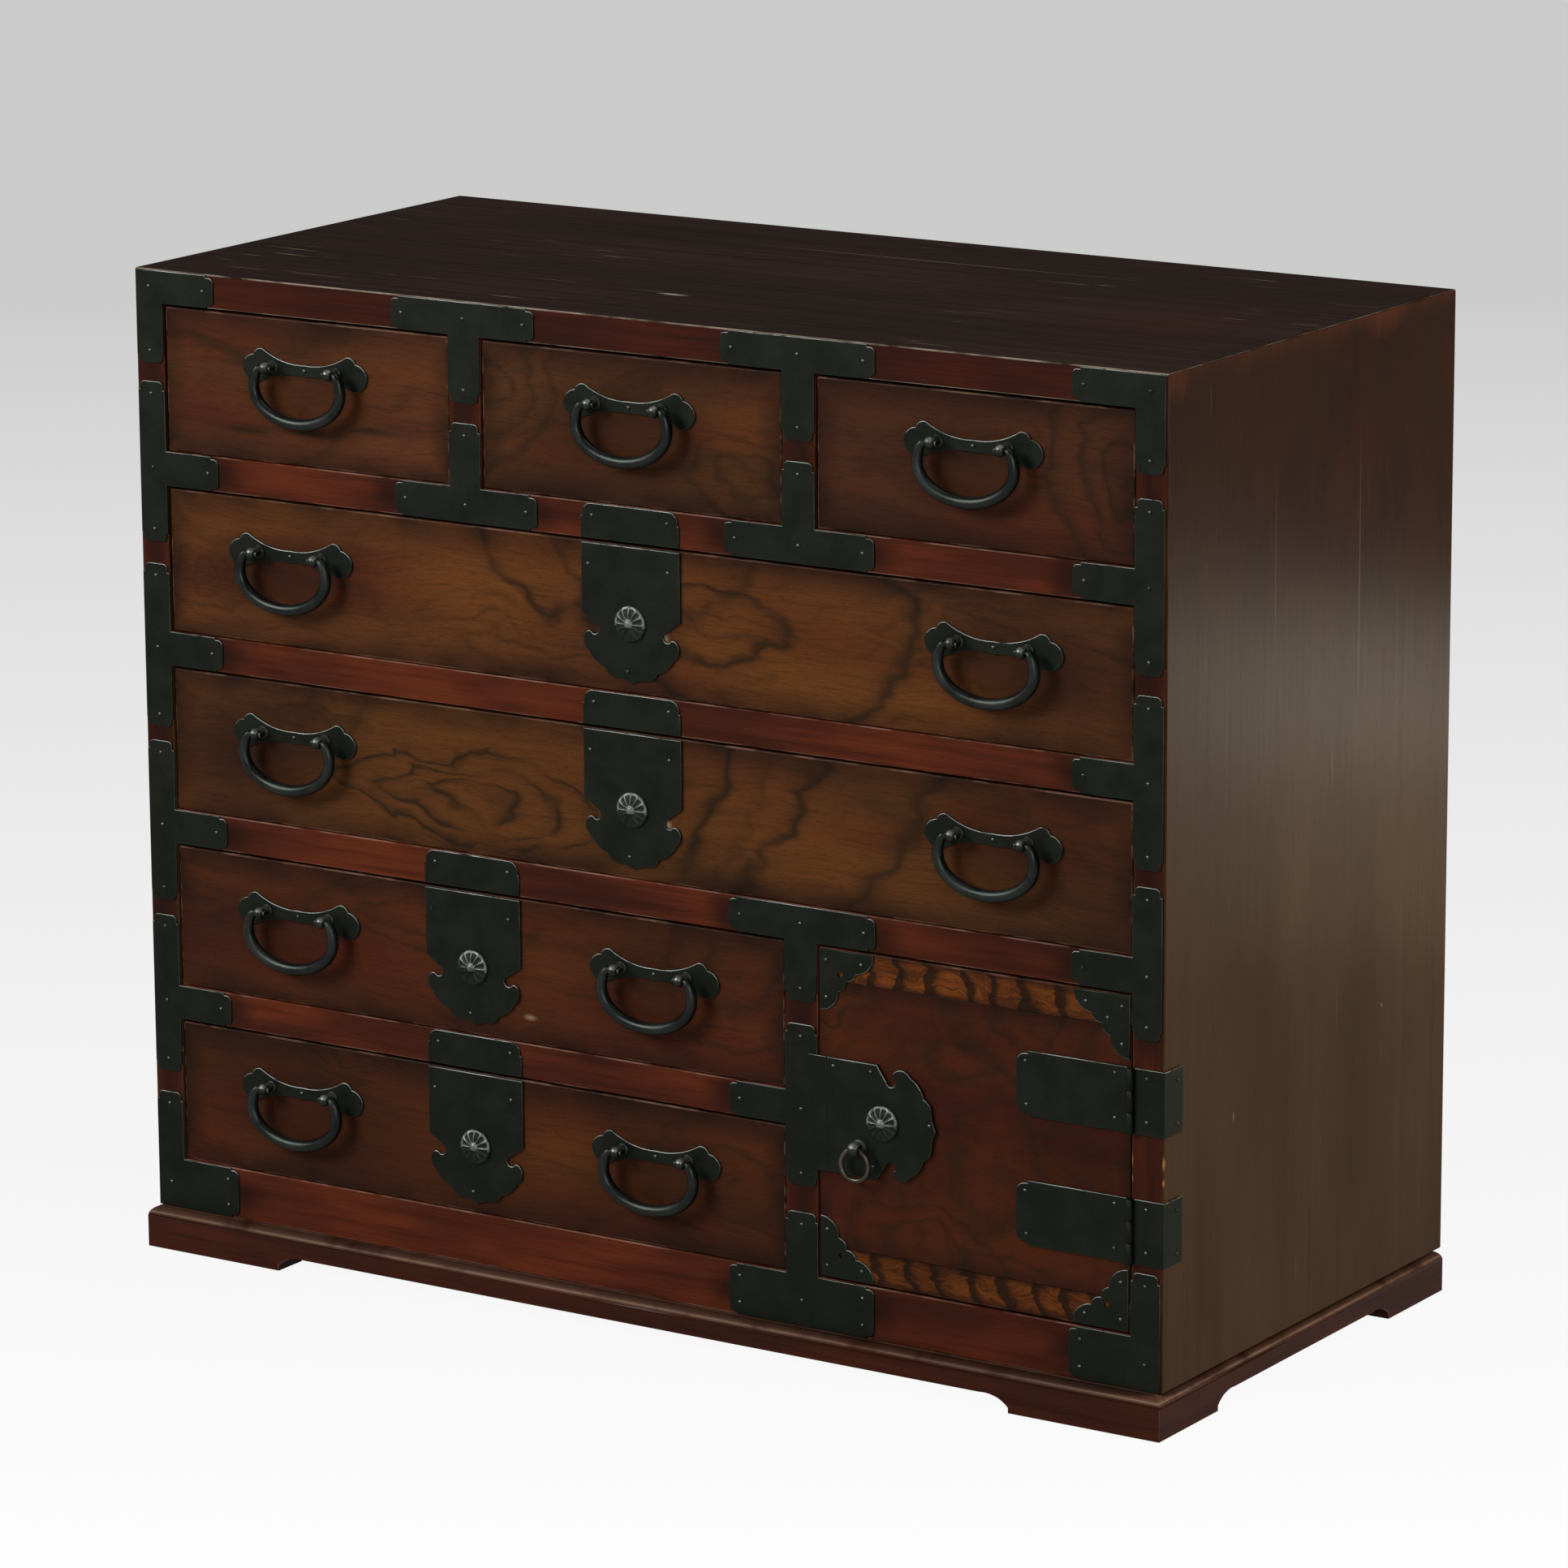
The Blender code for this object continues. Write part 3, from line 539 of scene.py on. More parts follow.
@dataclass(frozen=True)
class WipedLacquer:
    """Red lacquer wiped thin on the frame's softwood.

    The eye sees red streaks with the grain, brighter in the middle of a stretch, nearly black in the pores,
    and a pale line of wear on each arris, which on the plinth is mostly a painted highlight; its dark patches
    are iron stains past the straps and painted shade at the right end.
    """

    name: str
    grain: Grain
    seed: float = 0.0
    ground: str = "4c2214"
    bright: str = "6d311a"
    deep: str = "28120c"
    rubbed_and_lit: str = "9a7464"
    wear: float = 0.75
    bare_from: float = 0.4
    bare_span: float = 0.24
    darks: Spots = ()
    surface: Surface = Surface(0.3, 0.2, 0.08, 0.1)

    def mix(self) -> Material:
        """Lay out the material.

        Returns:
            The material.
        """
        s = Swatch(self.name)
        streak = s.mottle(self.grain.cell(190, 8), 3.0, self.seed)
        fibre = s.mottle(self.grain.cell(60, 1.8), 2.0, self.seed + 3)
        cloud = s.mottle(self.grain.cell(150, 40), 2.0, self.seed + 6)
        chips = s.mottle((34, 34, 34), 4.0, self.seed + 2)
        smoky = s.warp((30, 30, 30), 14, self.seed, s.coords)
        bare_to = self.bare_from + self.bare_span
        coats = [
            (s.share(cloud, 0.4, 0.64), self.bright),
            (s.share(streak, 0.48, 0.7, 0.5), self.deep),
            (s.share(fibre, 0.52, 0.7, 0.35), self.deep),
            *[(s.oval(spot, Vector(), smoky), self.deep) for spot in self.darks],
            (s.share(chips, self.bare_from, bare_to, self.wear, within=s.worn), self.rubbed_and_lit),
        ]
        return s.finish(s.coats(self.ground, coats), streak, fibre, self.surface)


@dataclass(frozen=True)
class StainedBoard:
    """Softwood board stained nearly black and rubbed by use.

    The eye sees long dark and brown streaks with the grain, a few pale scratches, red patches where the stain
    is thin, and worn arrises. Bands and patches go by the height in metres.
    """

    name: str
    grain: Grain
    ground: str
    pale: str
    deep: str
    plane: Plane
    seed: float = 0.0
    marks: tuple[tuple[Spot, str], ...] = ()
    scratch: float = 0.5
    scratched: str = "8c7c68"
    streaks: float = 0.4
    arris: str = "7c5334"
    bands: tuple[tuple[float, float, float, str], ...] = ()
    flush: str = ""
    flush_from: tuple[float, float] = (0.42, 0.62)
    surface: Surface = Surface(0.32, 0.2, 0.1, 0.25)

    def mix(self) -> Material:
        """Lay out the material.

        Returns:
            The material.
        """
        s = Swatch(self.name)
        seed = self.seed
        streak = s.mottle(self.grain.cell(420, 9), 3.0, seed)
        fibre = s.mottle(self.grain.cell(120, 2.2), 3.0, seed + 3)
        cloud = s.mottle(self.grain.cell(300, 120), 2.0, seed + 6)
        scratches = s.mottle(self.grain.cell(60, 2.6), 1.0, seed + 8)
        sparse = s.share(s.mottle((90, 90, 90), 2.0, seed + 1), 0.52, 0.66)
        wear = s.mottle((40, 40, 40), 4.0, seed + 2)
        height = s.add("SeparateXYZ", {}, {0: s.warp((60, 60, 60), 40, seed, s.coords)}).outputs["Z"]
        ragged = s.warp((12, 12, 12), 4, seed, s.coords)
        coats = [(s.share(height, bare, full, most), tone) for bare, full, most, tone in self.bands]
        if self.flush:
            patches = s.mottle(self.grain.cell(90, 40), 2.0, seed + 12)
            upper = s.share(height, *self.flush_from)
            coats.append((s.share(patches, 0.4, 0.64, 0.5, within=upper), self.flush))
        coats += [
            (s.share(cloud, 0.36, 0.64, 0.6), self.pale),
            (s.share(streak, 0.46, 0.7, self.streaks), self.deep),
            (s.share(fibre, 0.48, 0.7, self.streaks * 0.75), self.deep),
            (s.share(scratches, 0.7, 0.76, self.scratch, within=sparse), self.scratched),
            (s.share(wear, 0.36, 0.56, 0.9, within=s.worn), self.arris),
            *[(s.oval(spot, Vector(), ragged, self.plane), tone) for spot, tone in self.marks],
        ]
        return s.finish(s.coats(self.ground, coats), fibre, fibre, self.surface)


@dataclass(frozen=True)
class PlainBoard:
    """Unfinished paulownia or cedar board.

    The eye sees pale brown wood with soft straight grain lines and a dull surface.
    """

    name: str
    grain: Grain
    ground: str = "8a6a47"
    pale: str = "a08058"
    deep: str = "5c412a"
    seed: float = 0.0
    surface: Surface = Surface(0.6, 0.2, 0.1, 0.25)

    def mix(self) -> Material:
        """Lay out the material.

        Returns:
            The material.
        """
        s = Swatch(self.name)
        streak = s.mottle(self.grain.cell(380, 7), 3.0, self.seed)
        fibre = s.mottle(self.grain.cell(90, 1.8), 2.0, self.seed + 3)
        cloud = s.mottle(self.grain.cell(260, 90), 2.0, self.seed + 6)
        coats = [
            (s.share(cloud, 0.36, 0.64), self.pale),
            (s.share(streak, 0.5, 0.62, 0.6), self.deep),
            (s.share(fibre, 0.52, 0.7, 0.4), self.deep),
            (s.share(s.worn, 0.0, 1.0, 0.35), self.pale),
        ]
        return s.finish(s.coats(self.ground, coats), fibre, fibre, self.surface)


@dataclass(frozen=True)
class BlackenedIron:
    """Forged iron sheet blackened with baked-on lacquer.

    The eye sees a smooth black with a green cast and a soft sheen, faint cloudy thin places, and edges
    whose wear turns them grey, brightest where they face up as a painted highlight.
    """

    name: str = "lacquer_blackened_iron"
    ground: str = "272b24"
    thin: str = "2c3029"
    rubbed_and_lit: str = "9a9e97"
    pit: str = "15110d"
    surface: Surface = Surface(0.42, 0.16, 0.04, 0.5, metallic=0.9)

    def mix(self) -> Material:
        """Lay out the material.

        Returns:
            The material.
        """
        s = Swatch(self.name)
        cloud = s.mottle((26, 26, 26), 3.0, 1.0)
        grit = s.mottle((1.6, 1.6, 1.6), 2.0, 3.0)
        wear = s.mottle((14, 14, 14), 3.0, 5.0)
        coats = [
            (s.share(cloud, 0.38, 0.64), self.thin),
            (s.share(grit, 0.6, 0.74, 0.35), self.pit),
            (s.share(wear, 0.29, 0.5, 0.9, within=s.worn), self.rubbed_and_lit),
        ]
        return s.finish(s.coats(self.ground, coats), cloud, grit, self.surface)


@dataclass(frozen=True)
class PaleSweep:
    """Matt painted floor.

    The eye sees white round the object that fades to a soft grey far behind it.
    """

    name: str = "matt_white_floor"
    near: str = "ffffff"
    far: str = "cecece"
    near_at: float = -0.7
    far_at: float = 4.6
    heading: float = 0.0
    own_light: float = 0.86
    strength: float = 1.12
    mirror_share: float = 0.25
    paint: str = "7d7d7d"

    def mix(self) -> Material:
        """Lay out the material.

        Returns:
            The material.
        """
        s = Swatch(self.name)
        turned = s.add("Mapping", {"Rotation": (0.0, 0.0, self.heading)}, {"Vector": s.coords})
        away = s.add("SeparateXYZ", {}, {0: turned.outputs[0]}).outputs["Y"]
        fade = s.share(away, self.near_at, self.far_at)
        self.shade(s, s.coats(self.near, [(fade, self.far)]))
        return s.material

    def shade(self, s: Swatch, colour: NodeSocket) -> None:
        """Show the colour itself to the eye, with plain grey paint for shadows and for all other rays.

        Args:
            s: the material's nodes.
            colour: the floor's colour.
        """
        paint = s.add("BsdfDiffuse", {"Color": linear(self.paint)})
        glow = s.add("Emission", {"Strength": self.strength}, {"Color": colour})
        path = s.add("LightPath").outputs
        either = {0: path["Is Glossy Ray"], 1: path["Is Transmission Ray"]}
        mirrored = s.add("Math", {"operation": "ADD"}, either).outputs[0]
        mirrored = s.share(mirrored, 0.0, 1.0, self.own_light * self.mirror_share)
        seen = s.share(path["Is Camera Ray"], 0.0, 1.0, self.own_light)
        share = s.add("Math", {"operation": "MAXIMUM"}, {0: seen, 1: mirrored})
        mixed = s.add("MixShader", {}, {0: share.outputs[0], 1: paint.outputs[0], 2: glow.outputs[0]})
        s.tree.links.new(mixed.outputs[0], s.tree.nodes["Material Output"].inputs["Surface"])


@functools.cache
def material_of(finish: Finish) -> Material:
    """Material of a finish, mixed once."""
    return finish.mix()


# Mesh bench


def new_bench() -> BMesh:
    """Empty mesh with the wear and rim layers."""
    bm = bmesh.new()
    add_layers(bm)
    return bm


def add_layers(bm: BMesh) -> None:
    """Give a mesh the wear and rim layers."""
    bm.faces.layers.float.new(WEAR_AND_HIGHLIGHT)
    bm.verts.layers.float.new(RIM)


def copy_of_node(node: str) -> BMesh:
    """Mesh of a solid with its triangles merged into whole faces.

    Args:
        node: name of the solid.
    Returns:
        Mesh with the wear and rim layers.
    """
    bm = bmesh.new()
    bm.from_mesh(frame["nodes"][node].data)
    bmesh.ops.remove_doubles(bm, verts=bm.verts[:], dist=MERGE)
    bmesh.ops.dissolve_limit(bm, angle_limit=FLAT_ANGLE, verts=bm.verts[:], edges=bm.edges[:])
    add_layers(bm)
    for face in bm.faces:
        face.smooth = False
        face.material_index = 0
    return bm


def box_between(low: Sequence[float], high: Sequence[float]) -> BMesh:
    """Mesh of one box.

    Args:
        low: lowest corner in metres.
        high: highest corner in metres.
    Returns:
        Mesh with the wear and rim layers.
    """
    bm = new_bench()
    size = Vector(high) - Vector(low)
    place = Matrix.Translation((Vector(low) + Vector(high)) / 2) @ Matrix.Diagonal((*size, 1.0))
    bmesh.ops.create_cube(bm, size=1.0, matrix=place)
    return bm


def corner_edges(bm: BMesh, least: float = 50.0, most: float = 181.0) -> list[BMEdge]:
    """Edges whose faces turn by an angle in degrees between least and most."""
    turns = [(e, math.degrees(e.calc_face_angle(0.0))) for e in bm.edges]
    return [e for e, turn in turns if least < turn < most]


def soften(
    bm: BMesh, edges: Iterable[BMEdge], width: float, segments: int = 3, worn: float = 1.0
) -> list[BMFace]:
    """Round edges and mark the new faces with wear.

    Args:
        bm: mesh to change.
        edges: edges to round.
        width: width of the round in metres.
        segments: steps of the round.
        worn: wear of the new faces.
    Returns:
        The new faces.
    """
    made = bmesh.ops.bevel(
        bm, geom=list(edges), offset=width, offset_type="OFFSET", segments=segments, profile=0.5,
        affect="EDGES", loop_slide=True, clamp_overlap=True, material=-1,
    )
    layer = bm.faces.layers.float[WEAR_AND_HIGHLIGHT]
    for face in made["faces"]:
        face[layer] = worn
        face.smooth = True
    return made["faces"]


def extrude_faces(bm: BMesh, faces: Sequence[BMFace], offset: Vector) -> list[BMFace]:
    """Extrude faces as one region.

    Args:
        bm: mesh to change.
        faces: faces to extrude.
        offset: how far the new faces move.
    Returns:
        The moved faces.
    """
    edges = {e for f in faces for e in f.edges}
    corners = {v for f in faces for v in f.verts}
    made = bmesh.ops.extrude_face_region(bm, geom=[*faces, *edges, *corners])["geom"]
    bmesh.ops.translate(bm, verts=[v for v in made if isinstance(v, BMVert)], vec=offset)
    return [f for f in made if isinstance(f, BMFace)]


@dataclass(frozen=True)
class Leg:
    """One stretch of an outline in mm: its end, and its bulge out as arc height over half chord."""

    u: float
    v: float
    bulge: float = 0.0


def trace(bm: BMesh, start: tuple[float, float], legs: Iterable[Leg]) -> None:
    """Draw an outline clockwise in the XZ plane, its arcs by spinning its tip.

    Args:
        bm: mesh to draw in.
        start: first point in mm.
        legs: the stretches after it.
    """
    tip = bm.verts.new((mm(start[0]), 0.0, mm(start[1])))
    for leg in legs:
        end = Vector((mm(leg.u), 0.0, mm(leg.v)))
        if leg.bulge:
            chord = end - tip.co
            outward = Vector((-chord.z, 0.0, chord.x)).normalized()
            rise = chord.length / 4 * (leg.bulge - 1 / leg.bulge)
            centre = (tip.co + end) / 2 + outward * rise
            made = bmesh.ops.spin(
                bm, geom=[tip], cent=centre, axis=(0, 1, 0), angle=4 * math.atan(leg.bulge), steps=ARC_STEPS
            )
            tip = next(v for v in made["geom_last"] if isinstance(v, BMVert))
        else:
            tip = bmesh.ops.extrude_vert_indiv(bm, verts=[tip])["verts"][0]
            bmesh.ops.translate(bm, verts=[tip], vec=end - tip.co)


def mirror_half(bm: BMesh) -> None:
    """Close a half outline drawn on +X by its mirror image."""
    whole = [*bm.verts, *bm.edges]
    bmesh.ops.mirror(bm, geom=whole, axis="X", merge_dist=MERGE_OUTLINE)


def thicken(bm: BMesh, offset: Vector) -> list[BMFace]:
    """Fill the outline drawn so far and thicken it.

    Args:
        bm: mesh that holds the outline and nothing else.
        offset: where the second face lies from the first.
    Returns:
        The second face.
    """
    bmesh.ops.remove_doubles(bm, verts=bm.verts[:], dist=MERGE_OUTLINE)
    filled = bmesh.ops.edgeloop_fill(bm, edges=bm.edges[:])["faces"]
    moved = extrude_faces(bm, filled, offset)
    bmesh.ops.recalc_face_normals(bm, faces=bm.faces[:])
    return moved


def raise_plate(bm: BMesh, thickness: float, edge: float = 0.0005) -> None:
    """Thicken the outline drawn so far towards -Y and round its front edge, sizes in metres."""
    front = thicken(bm, Vector((0.0, -thickness, 0.0)))
    # Rounded front edges that look up get a painted highlight, the others a little wear.
    rub_and_highlight_upper(bm, soften(bm, {e for f in front for e in f.edges}, edge, segments=2))


def rub_and_highlight(
    bm: BMesh, faces: Iterable[BMFace], lit: Callable[[BMFace], bool], bright: float, dull: float
) -> None:
    """Paint a highlight on the faces that catch the light, and a little wear on the others.

    Args:
        bm: mesh that holds them.
        faces: faces to rub.
        lit: test for a face that catches the light.
        bright: wear and painted highlight of such a face.
        dull: wear of the others.
    """
    bm.normal_update()
    layer = bm.faces.layers.float[WEAR_AND_HIGHLIGHT]
    for face in faces:
        face[layer] = bright if lit(face) else dull


def rub_and_highlight_upper(bm: BMesh, faces: Iterable[BMFace]) -> None:
    """Paint a highlight on the rounded edges that look up, and a little wear on the others."""
    rub_and_highlight(bm, faces, lambda face: face.normal.z > 0.2, 1.0, 0.12)


def turned(profile: Pairs, sides: int) -> BMesh:
    """Turn a profile round the Z axis.

    Args:
        profile: radius and height of each point in mm, from the lower pole to the upper one.
        sides: steps of the turn.
    Returns:
        Mesh of the closed solid.
    """
    bm = new_bench()
    points = [bm.verts.new((mm(radius), 0.0, mm(height))) for radius, height in profile]
    edges = [bm.edges.new(pair) for pair in zip(points, points[1:])]
    spin_round(bm, [*points, *edges], sides)
    return bm


def spin_round(bm: BMesh, geom: Sequence[BMVert | BMEdge], sides: int) -> None:
    """Spin geometry once round the Z axis into a smooth closed solid.

    Args:
        bm: mesh that holds it.
        geom: vertices and edges to spin.
        sides: steps of the turn.
    """
    bmesh.ops.spin(
        bm, geom=geom, cent=(0, 0, 0), axis=(0, 0, 1), angle=math.tau, steps=sides, use_merge=True
    )
    bmesh.ops.remove_doubles(bm, verts=bm.verts[:], dist=MERGE)
    bmesh.ops.recalc_face_normals(bm, faces=bm.faces[:])
    for face in bm.faces:
        face.smooth = True


def swept(path: Sequence[Vector], radii: Sequence[float], sides: int, normal: Vector) -> BMesh:
    """Sweep a circle along a flat path.

    Args:
        path: points in metres.
        radii: radius at each point in metres.
        sides: sides of the bar.
        normal: normal of the path's plane.
    Returns:
        Mesh of the closed bar.
    """
    bm = new_bench()
    stations = []
    for i, (point, radius) in enumerate(zip(path, radii)):
        along = (path[min(i + 1, len(path) - 1)] - path[max(i - 1, 0)]).normalized()
        turn = Matrix((along.cross(normal), normal, along)).transposed().to_4x4()
        stations.append(Matrix.Translation(point) @ turn @ Matrix.Scale(radius, 4))
    ring = bmesh.ops.create_circle(bm, segments=sides, radius=1.0, matrix=stations[0])["verts"]
    edges = list({e for v in ring for e in v.link_edges})
    ends = edges[:]
    for before, after in zip(stations, stations[1:]):
        made = bmesh.ops.extrude_edge_only(bm, edges=edges)["geom"]
        corners = [v for v in made if isinstance(v, BMVert)]
        bmesh.ops.transform(bm, matrix=after @ before.inverted(), verts=corners)
        edges = [e for e in made if isinstance(e, BMEdge) and all(v in corners for v in e.verts)]
    bmesh.ops.edgeloop_fill(bm, edges=ends + edges)
    bmesh.ops.recalc_face_normals(bm, faces=bm.faces[:])
    for face in bm.faces:
        face.smooth = len(face.verts) == 4
    return bm


def mesh_of(bm: BMesh, name: str = "stencil") -> Mesh:
    """Turn a finished shape into a mesh block.

    Args:
        bm: the shape, whose bench is used up.
        name: name of the block.
    Returns:
        The mesh block.
    """
    mesh = bpy.data.meshes.new(name)
    bm.to_mesh(mesh)
    bm.free()
    return mesh


def add_object(name: str, data: ID) -> Object:
    """New object in the scene, for a mesh, camera or light."""
    thing = bpy.data.objects.new(name, data)
    bpy.context.scene.collection.objects.link(thing)
    return thing


def stamp(bm: BMesh, stencil: Mesh, place: Matrix = HERE) -> None:
    """Add a copy of a stencil.

    Args:
        bm: mesh to add it to.
        stencil: shape to copy.
        place: where the copy goes.
    """
    known = set(bm.verts)
    bm.from_mesh(stencil)
    bmesh.ops.transform(bm, matrix=place, verts=[v for v in bm.verts if v not in known])


def carve(stencil: Mesh, cutter: Mesh) -> Mesh:
    """Cut one mesh out of another.

    Args:
        stencil: shape to cut.
        cutter: shape to take away.
    Returns:
        The cut mesh.
    """
    holders = [add_object("holder", mesh) for mesh in (stencil, cutter)]
    cut = holders[0].modifiers.new("cut", "BOOLEAN")
    cut.operation = "DIFFERENCE"
    cut.solver = "EXACT"
    cut.object = holders[1]
    done = bpy.data.meshes.new_from_object(holders[0].evaluated_get(bpy.context.evaluated_depsgraph_get()))
    for holder in holders:
        bpy.data.objects.remove(holder)
    return done


def move(bm: BMesh, place: Matrix) -> BMesh:
    """Move a whole mesh and give it back."""
    bmesh.ops.transform(bm, matrix=place, verts=bm.verts[:])
    bm.normal_update()
    return bm


def settle(
    name: str, bm: BMesh, finishes: Sequence[Finish], body: str, stands_for: Sequence[str] = ()
) -> None:
    """Make a mesh a piece of the chest.

    Args:
        name: the piece's name.
        bm: its mesh, which is used up.
        finishes: finish of each material index.
        body: body that it moves with.
        stands_for: solids that it replaces.
    """
    mesh = mesh_of(bm, name)
    for finish in finishes:
        mesh.materials.append(material_of(finish))
    piece = add_object(name, mesh)
    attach(piece, body)
    if stands_for:
        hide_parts(*stands_for)
    LOG.info("%s: %d faces on %s", name, len(mesh.polygons), body)


# Tips of turned shapes point along +Z, so these turn them to the front, the back and the right
TO_FRONT = Matrix.Rotation(math.radians(90), 4, "X")
TO_BACK = Matrix.Rotation(math.radians(-90), 4, "X")
TO_RIGHT = Matrix.Rotation(math.radians(90), 4, "Y")


def joint_place(name: str) -> Vector:
    """Point on a joint's axis."""
    return Vector(next(j for j in frame["joints"] if j["name"] == name)["pos_m"])


IRON = BlackenedIron()
HANDLED_IRON = BlackenedIron(
    "hand_polished_iron", "313532", "3f4441", "a9b0ab", surface=replace(IRON.surface, roughness=0.31)
)
# The ring's iron is painted lighter than the rest: handling polish with a painted highlight.
RING_IRON = BlackenedIron(
    "polished_and_lit_ring_iron", "5e564d", "70675d", "9a9388", surface=replace(IRON.surface, roughness=0.28)
)


@dataclass
class Nails:
    """Domed nail heads, sizes in mm."""

    radius: float = 1.55
    rise: float = 1.0
    sink: float = 0.3
    rim: float = 0.1
    sides: int = 12

    def __post_init__(self) -> None:
        """Turn the head once."""
        profile = [
            (0.0, -self.sink), (self.radius, -self.sink), (self.radius, self.rim),
            (self.radius * 0.86, self.rise * 0.6), (self.radius * 0.5, self.rise * 0.92), (0.0, self.rise),
        ]
        bm = turned(profile, self.sides)
        # Painted highlight on the upper side of each head.
        rub_and_highlight(bm, bm.faces, lambda face: face.normal.y > 0.25 and face.normal.z > 0.1, 1.0, 0.15)
        self.stencil = mesh_of(bm)

    def drive(self, bm: BMesh, places: Iterable[Vector], facing: Matrix = TO_FRONT) -> None:
        """Set heads on points of a surface, turned from +Z to its normal."""
        for place in places:
            stamp(bm, self.stencil, Matrix.Translation(place) @ facing)


# Case


# Scratches, knocks and worn spots of the boards, with their colours
SCUFF, KNOCK, BARE = "7a6a55", "a08c6c", "c98a4a"
SIDE_MARKS = (
    (Spot(-50, 600, 1.0, 110, 0.5), SCUFF), (Spot(75, 560, 1.1, 160, 0.6), "85765f"),
    (Spot(134, 500, 1.0, 120, 0.5), SCUFF), (Spot(-104, 214, 1.6, 5, 0.7), KNOCK),
    (Spot(118, 246, 1.8, 2.5, 0.8), KNOCK), (Spot(-203, 203, 2.2, 7, 1.0), BARE),
    (Spot(-203, 189, 2, 4, 1.0), BARE), (Spot(-203, 160, 1.6, 3, 0.8), BARE),
)
TOP_MARKS = (
    (Spot(-31, -99, 17, 4.5, 1.0), "a89c8c"), (Spot(60, 130, 230, 1.4, 0.85), "75675b"),
    (Spot(-250, 60, 60, 0.7, 0.5), "6c5e52"), (Spot(340, -20, 120, 140, 0.5), "3a1f18"),
)


@dataclass
class CaseBoards:
    """Sides, top and back of the case, sizes in mm."""

    upright: WipedLacquer
    arris: float = 1.0
    mitre: float = 0.35
    heart: float = 400.0
    back_boards: int = 5
    back_seam: float = 1.0
    back_inset: float = 0.4
    back_arris: float = 1.6
    peg: float = 2.2
    peg_rise: float = 0.25
    peg_inset: float = 9.0
    peg_rows: tuple[float, float] = (0.2, 0.8)

    def build(self) -> None:
        """Build and dress all boards."""
        side = StainedBoard(
            "stained_side_board", Grain.UPRIGHT, "2f1a06", "37200b", "1d1006", Plane.SIDE, seed=2.0,
            marks=SIDE_MARKS, scratch=0.3, streaks=0.14, arris="4a2c1b", flush="46200e",
            bands=((0.6, 0.34, 0.95, "563f26"), (0.752, 0.772, 0.85, "63331a")),
            surface=Surface(0.25, 0.04, 0.012, 0.1),
        )
        top = StainedBoard(
            "stained_top_board", Grain.ACROSS, "2e221d", "3a2b25", "1c1412", Plane.TOP, seed=5.0,
            marks=TOP_MARKS, scratch=0.8, streaks=0.6, arris="a4937f", surface=Surface(0.32, 0.2, 0.1, 0.06),
        )
        head = WipedLacquer(
            "dark_red_top_edge", Grain.ACROSS, seed=12.0, ground="391a11", bright="4a2013", deep="200e09",
        )
        self.board("left_side_board", "left_side_panel", side, self.upright)
        self.board("right_side_board", "right_side_panel", side, self.upright)
        self.board("top_board", "top_panel", top, head)
        self.back()

    def board(self, name: str, node: str, face: StainedBoard, edge: WipedLacquer) -> None:
        """Board with rounded arrises and a red front edge.

        Args:
            name: name of the piece.
            node: solid that it replaces.
            face: finish of its faces.
            edge: finish of its front edge.
        """
        bm = copy_of_node(node)
        soften(bm, corner_edges(bm, 60, 120), mm(self.arris))
        soften(bm, corner_edges(bm, 120), mm(self.mitre), segments=2)
        bm.normal_update()
        worn = bm.faces.layers.float[WEAR_AND_HIGHLIGHT]
        inside = Vector((0, 0, mm(self.heart)))
        for side in bm.faces:
            side.material_index = int(side.normal.y < -0.98)
            if side.normal.dot(side.calc_center_median() - inside) < mm(self.arris):
                side[worn] = 0.0
        settle(name, bm, [face, edge], "case", [node])

    def back(self) -> None:
        """Back of level boards with pegs down both sides."""
        low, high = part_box("back_panel")
        pitch = (high.z - low.z) / self.back_boards
        bm = new_bench()
        pegs = Nails(radius=self.peg, rise=self.peg_rise, sides=10)
        columns = (low.x + mm(self.peg_inset), 0.0, high.x - mm(self.peg_inset))
        for i in range(self.back_boards):
            under = low + Vector((0, 0, i * pitch))
            top = low.z + (i + 1) * pitch - mm(self.back_seam)
            over = Vector((high.x, high.y - mm(self.back_inset), top))
            board = box_between(under, over)
            soften(board, corner_edges(board), mm(self.back_arris), segments=2, worn=0.0)
            stamp(bm, mesh_of(board))
            rows = [under.z + pitch * share for share in self.peg_rows]
            pegs.drive(bm, [Vector((x, over.y, z)) for x in columns for z in rows], TO_BACK)
        plain = PlainBoard("aged_cedar_back", Grain.ACROSS, "5a4028", "6e5136", "3a2818", seed=3.0)
        settle("back_boards", bm, [plain], "case", ["back_panel"])


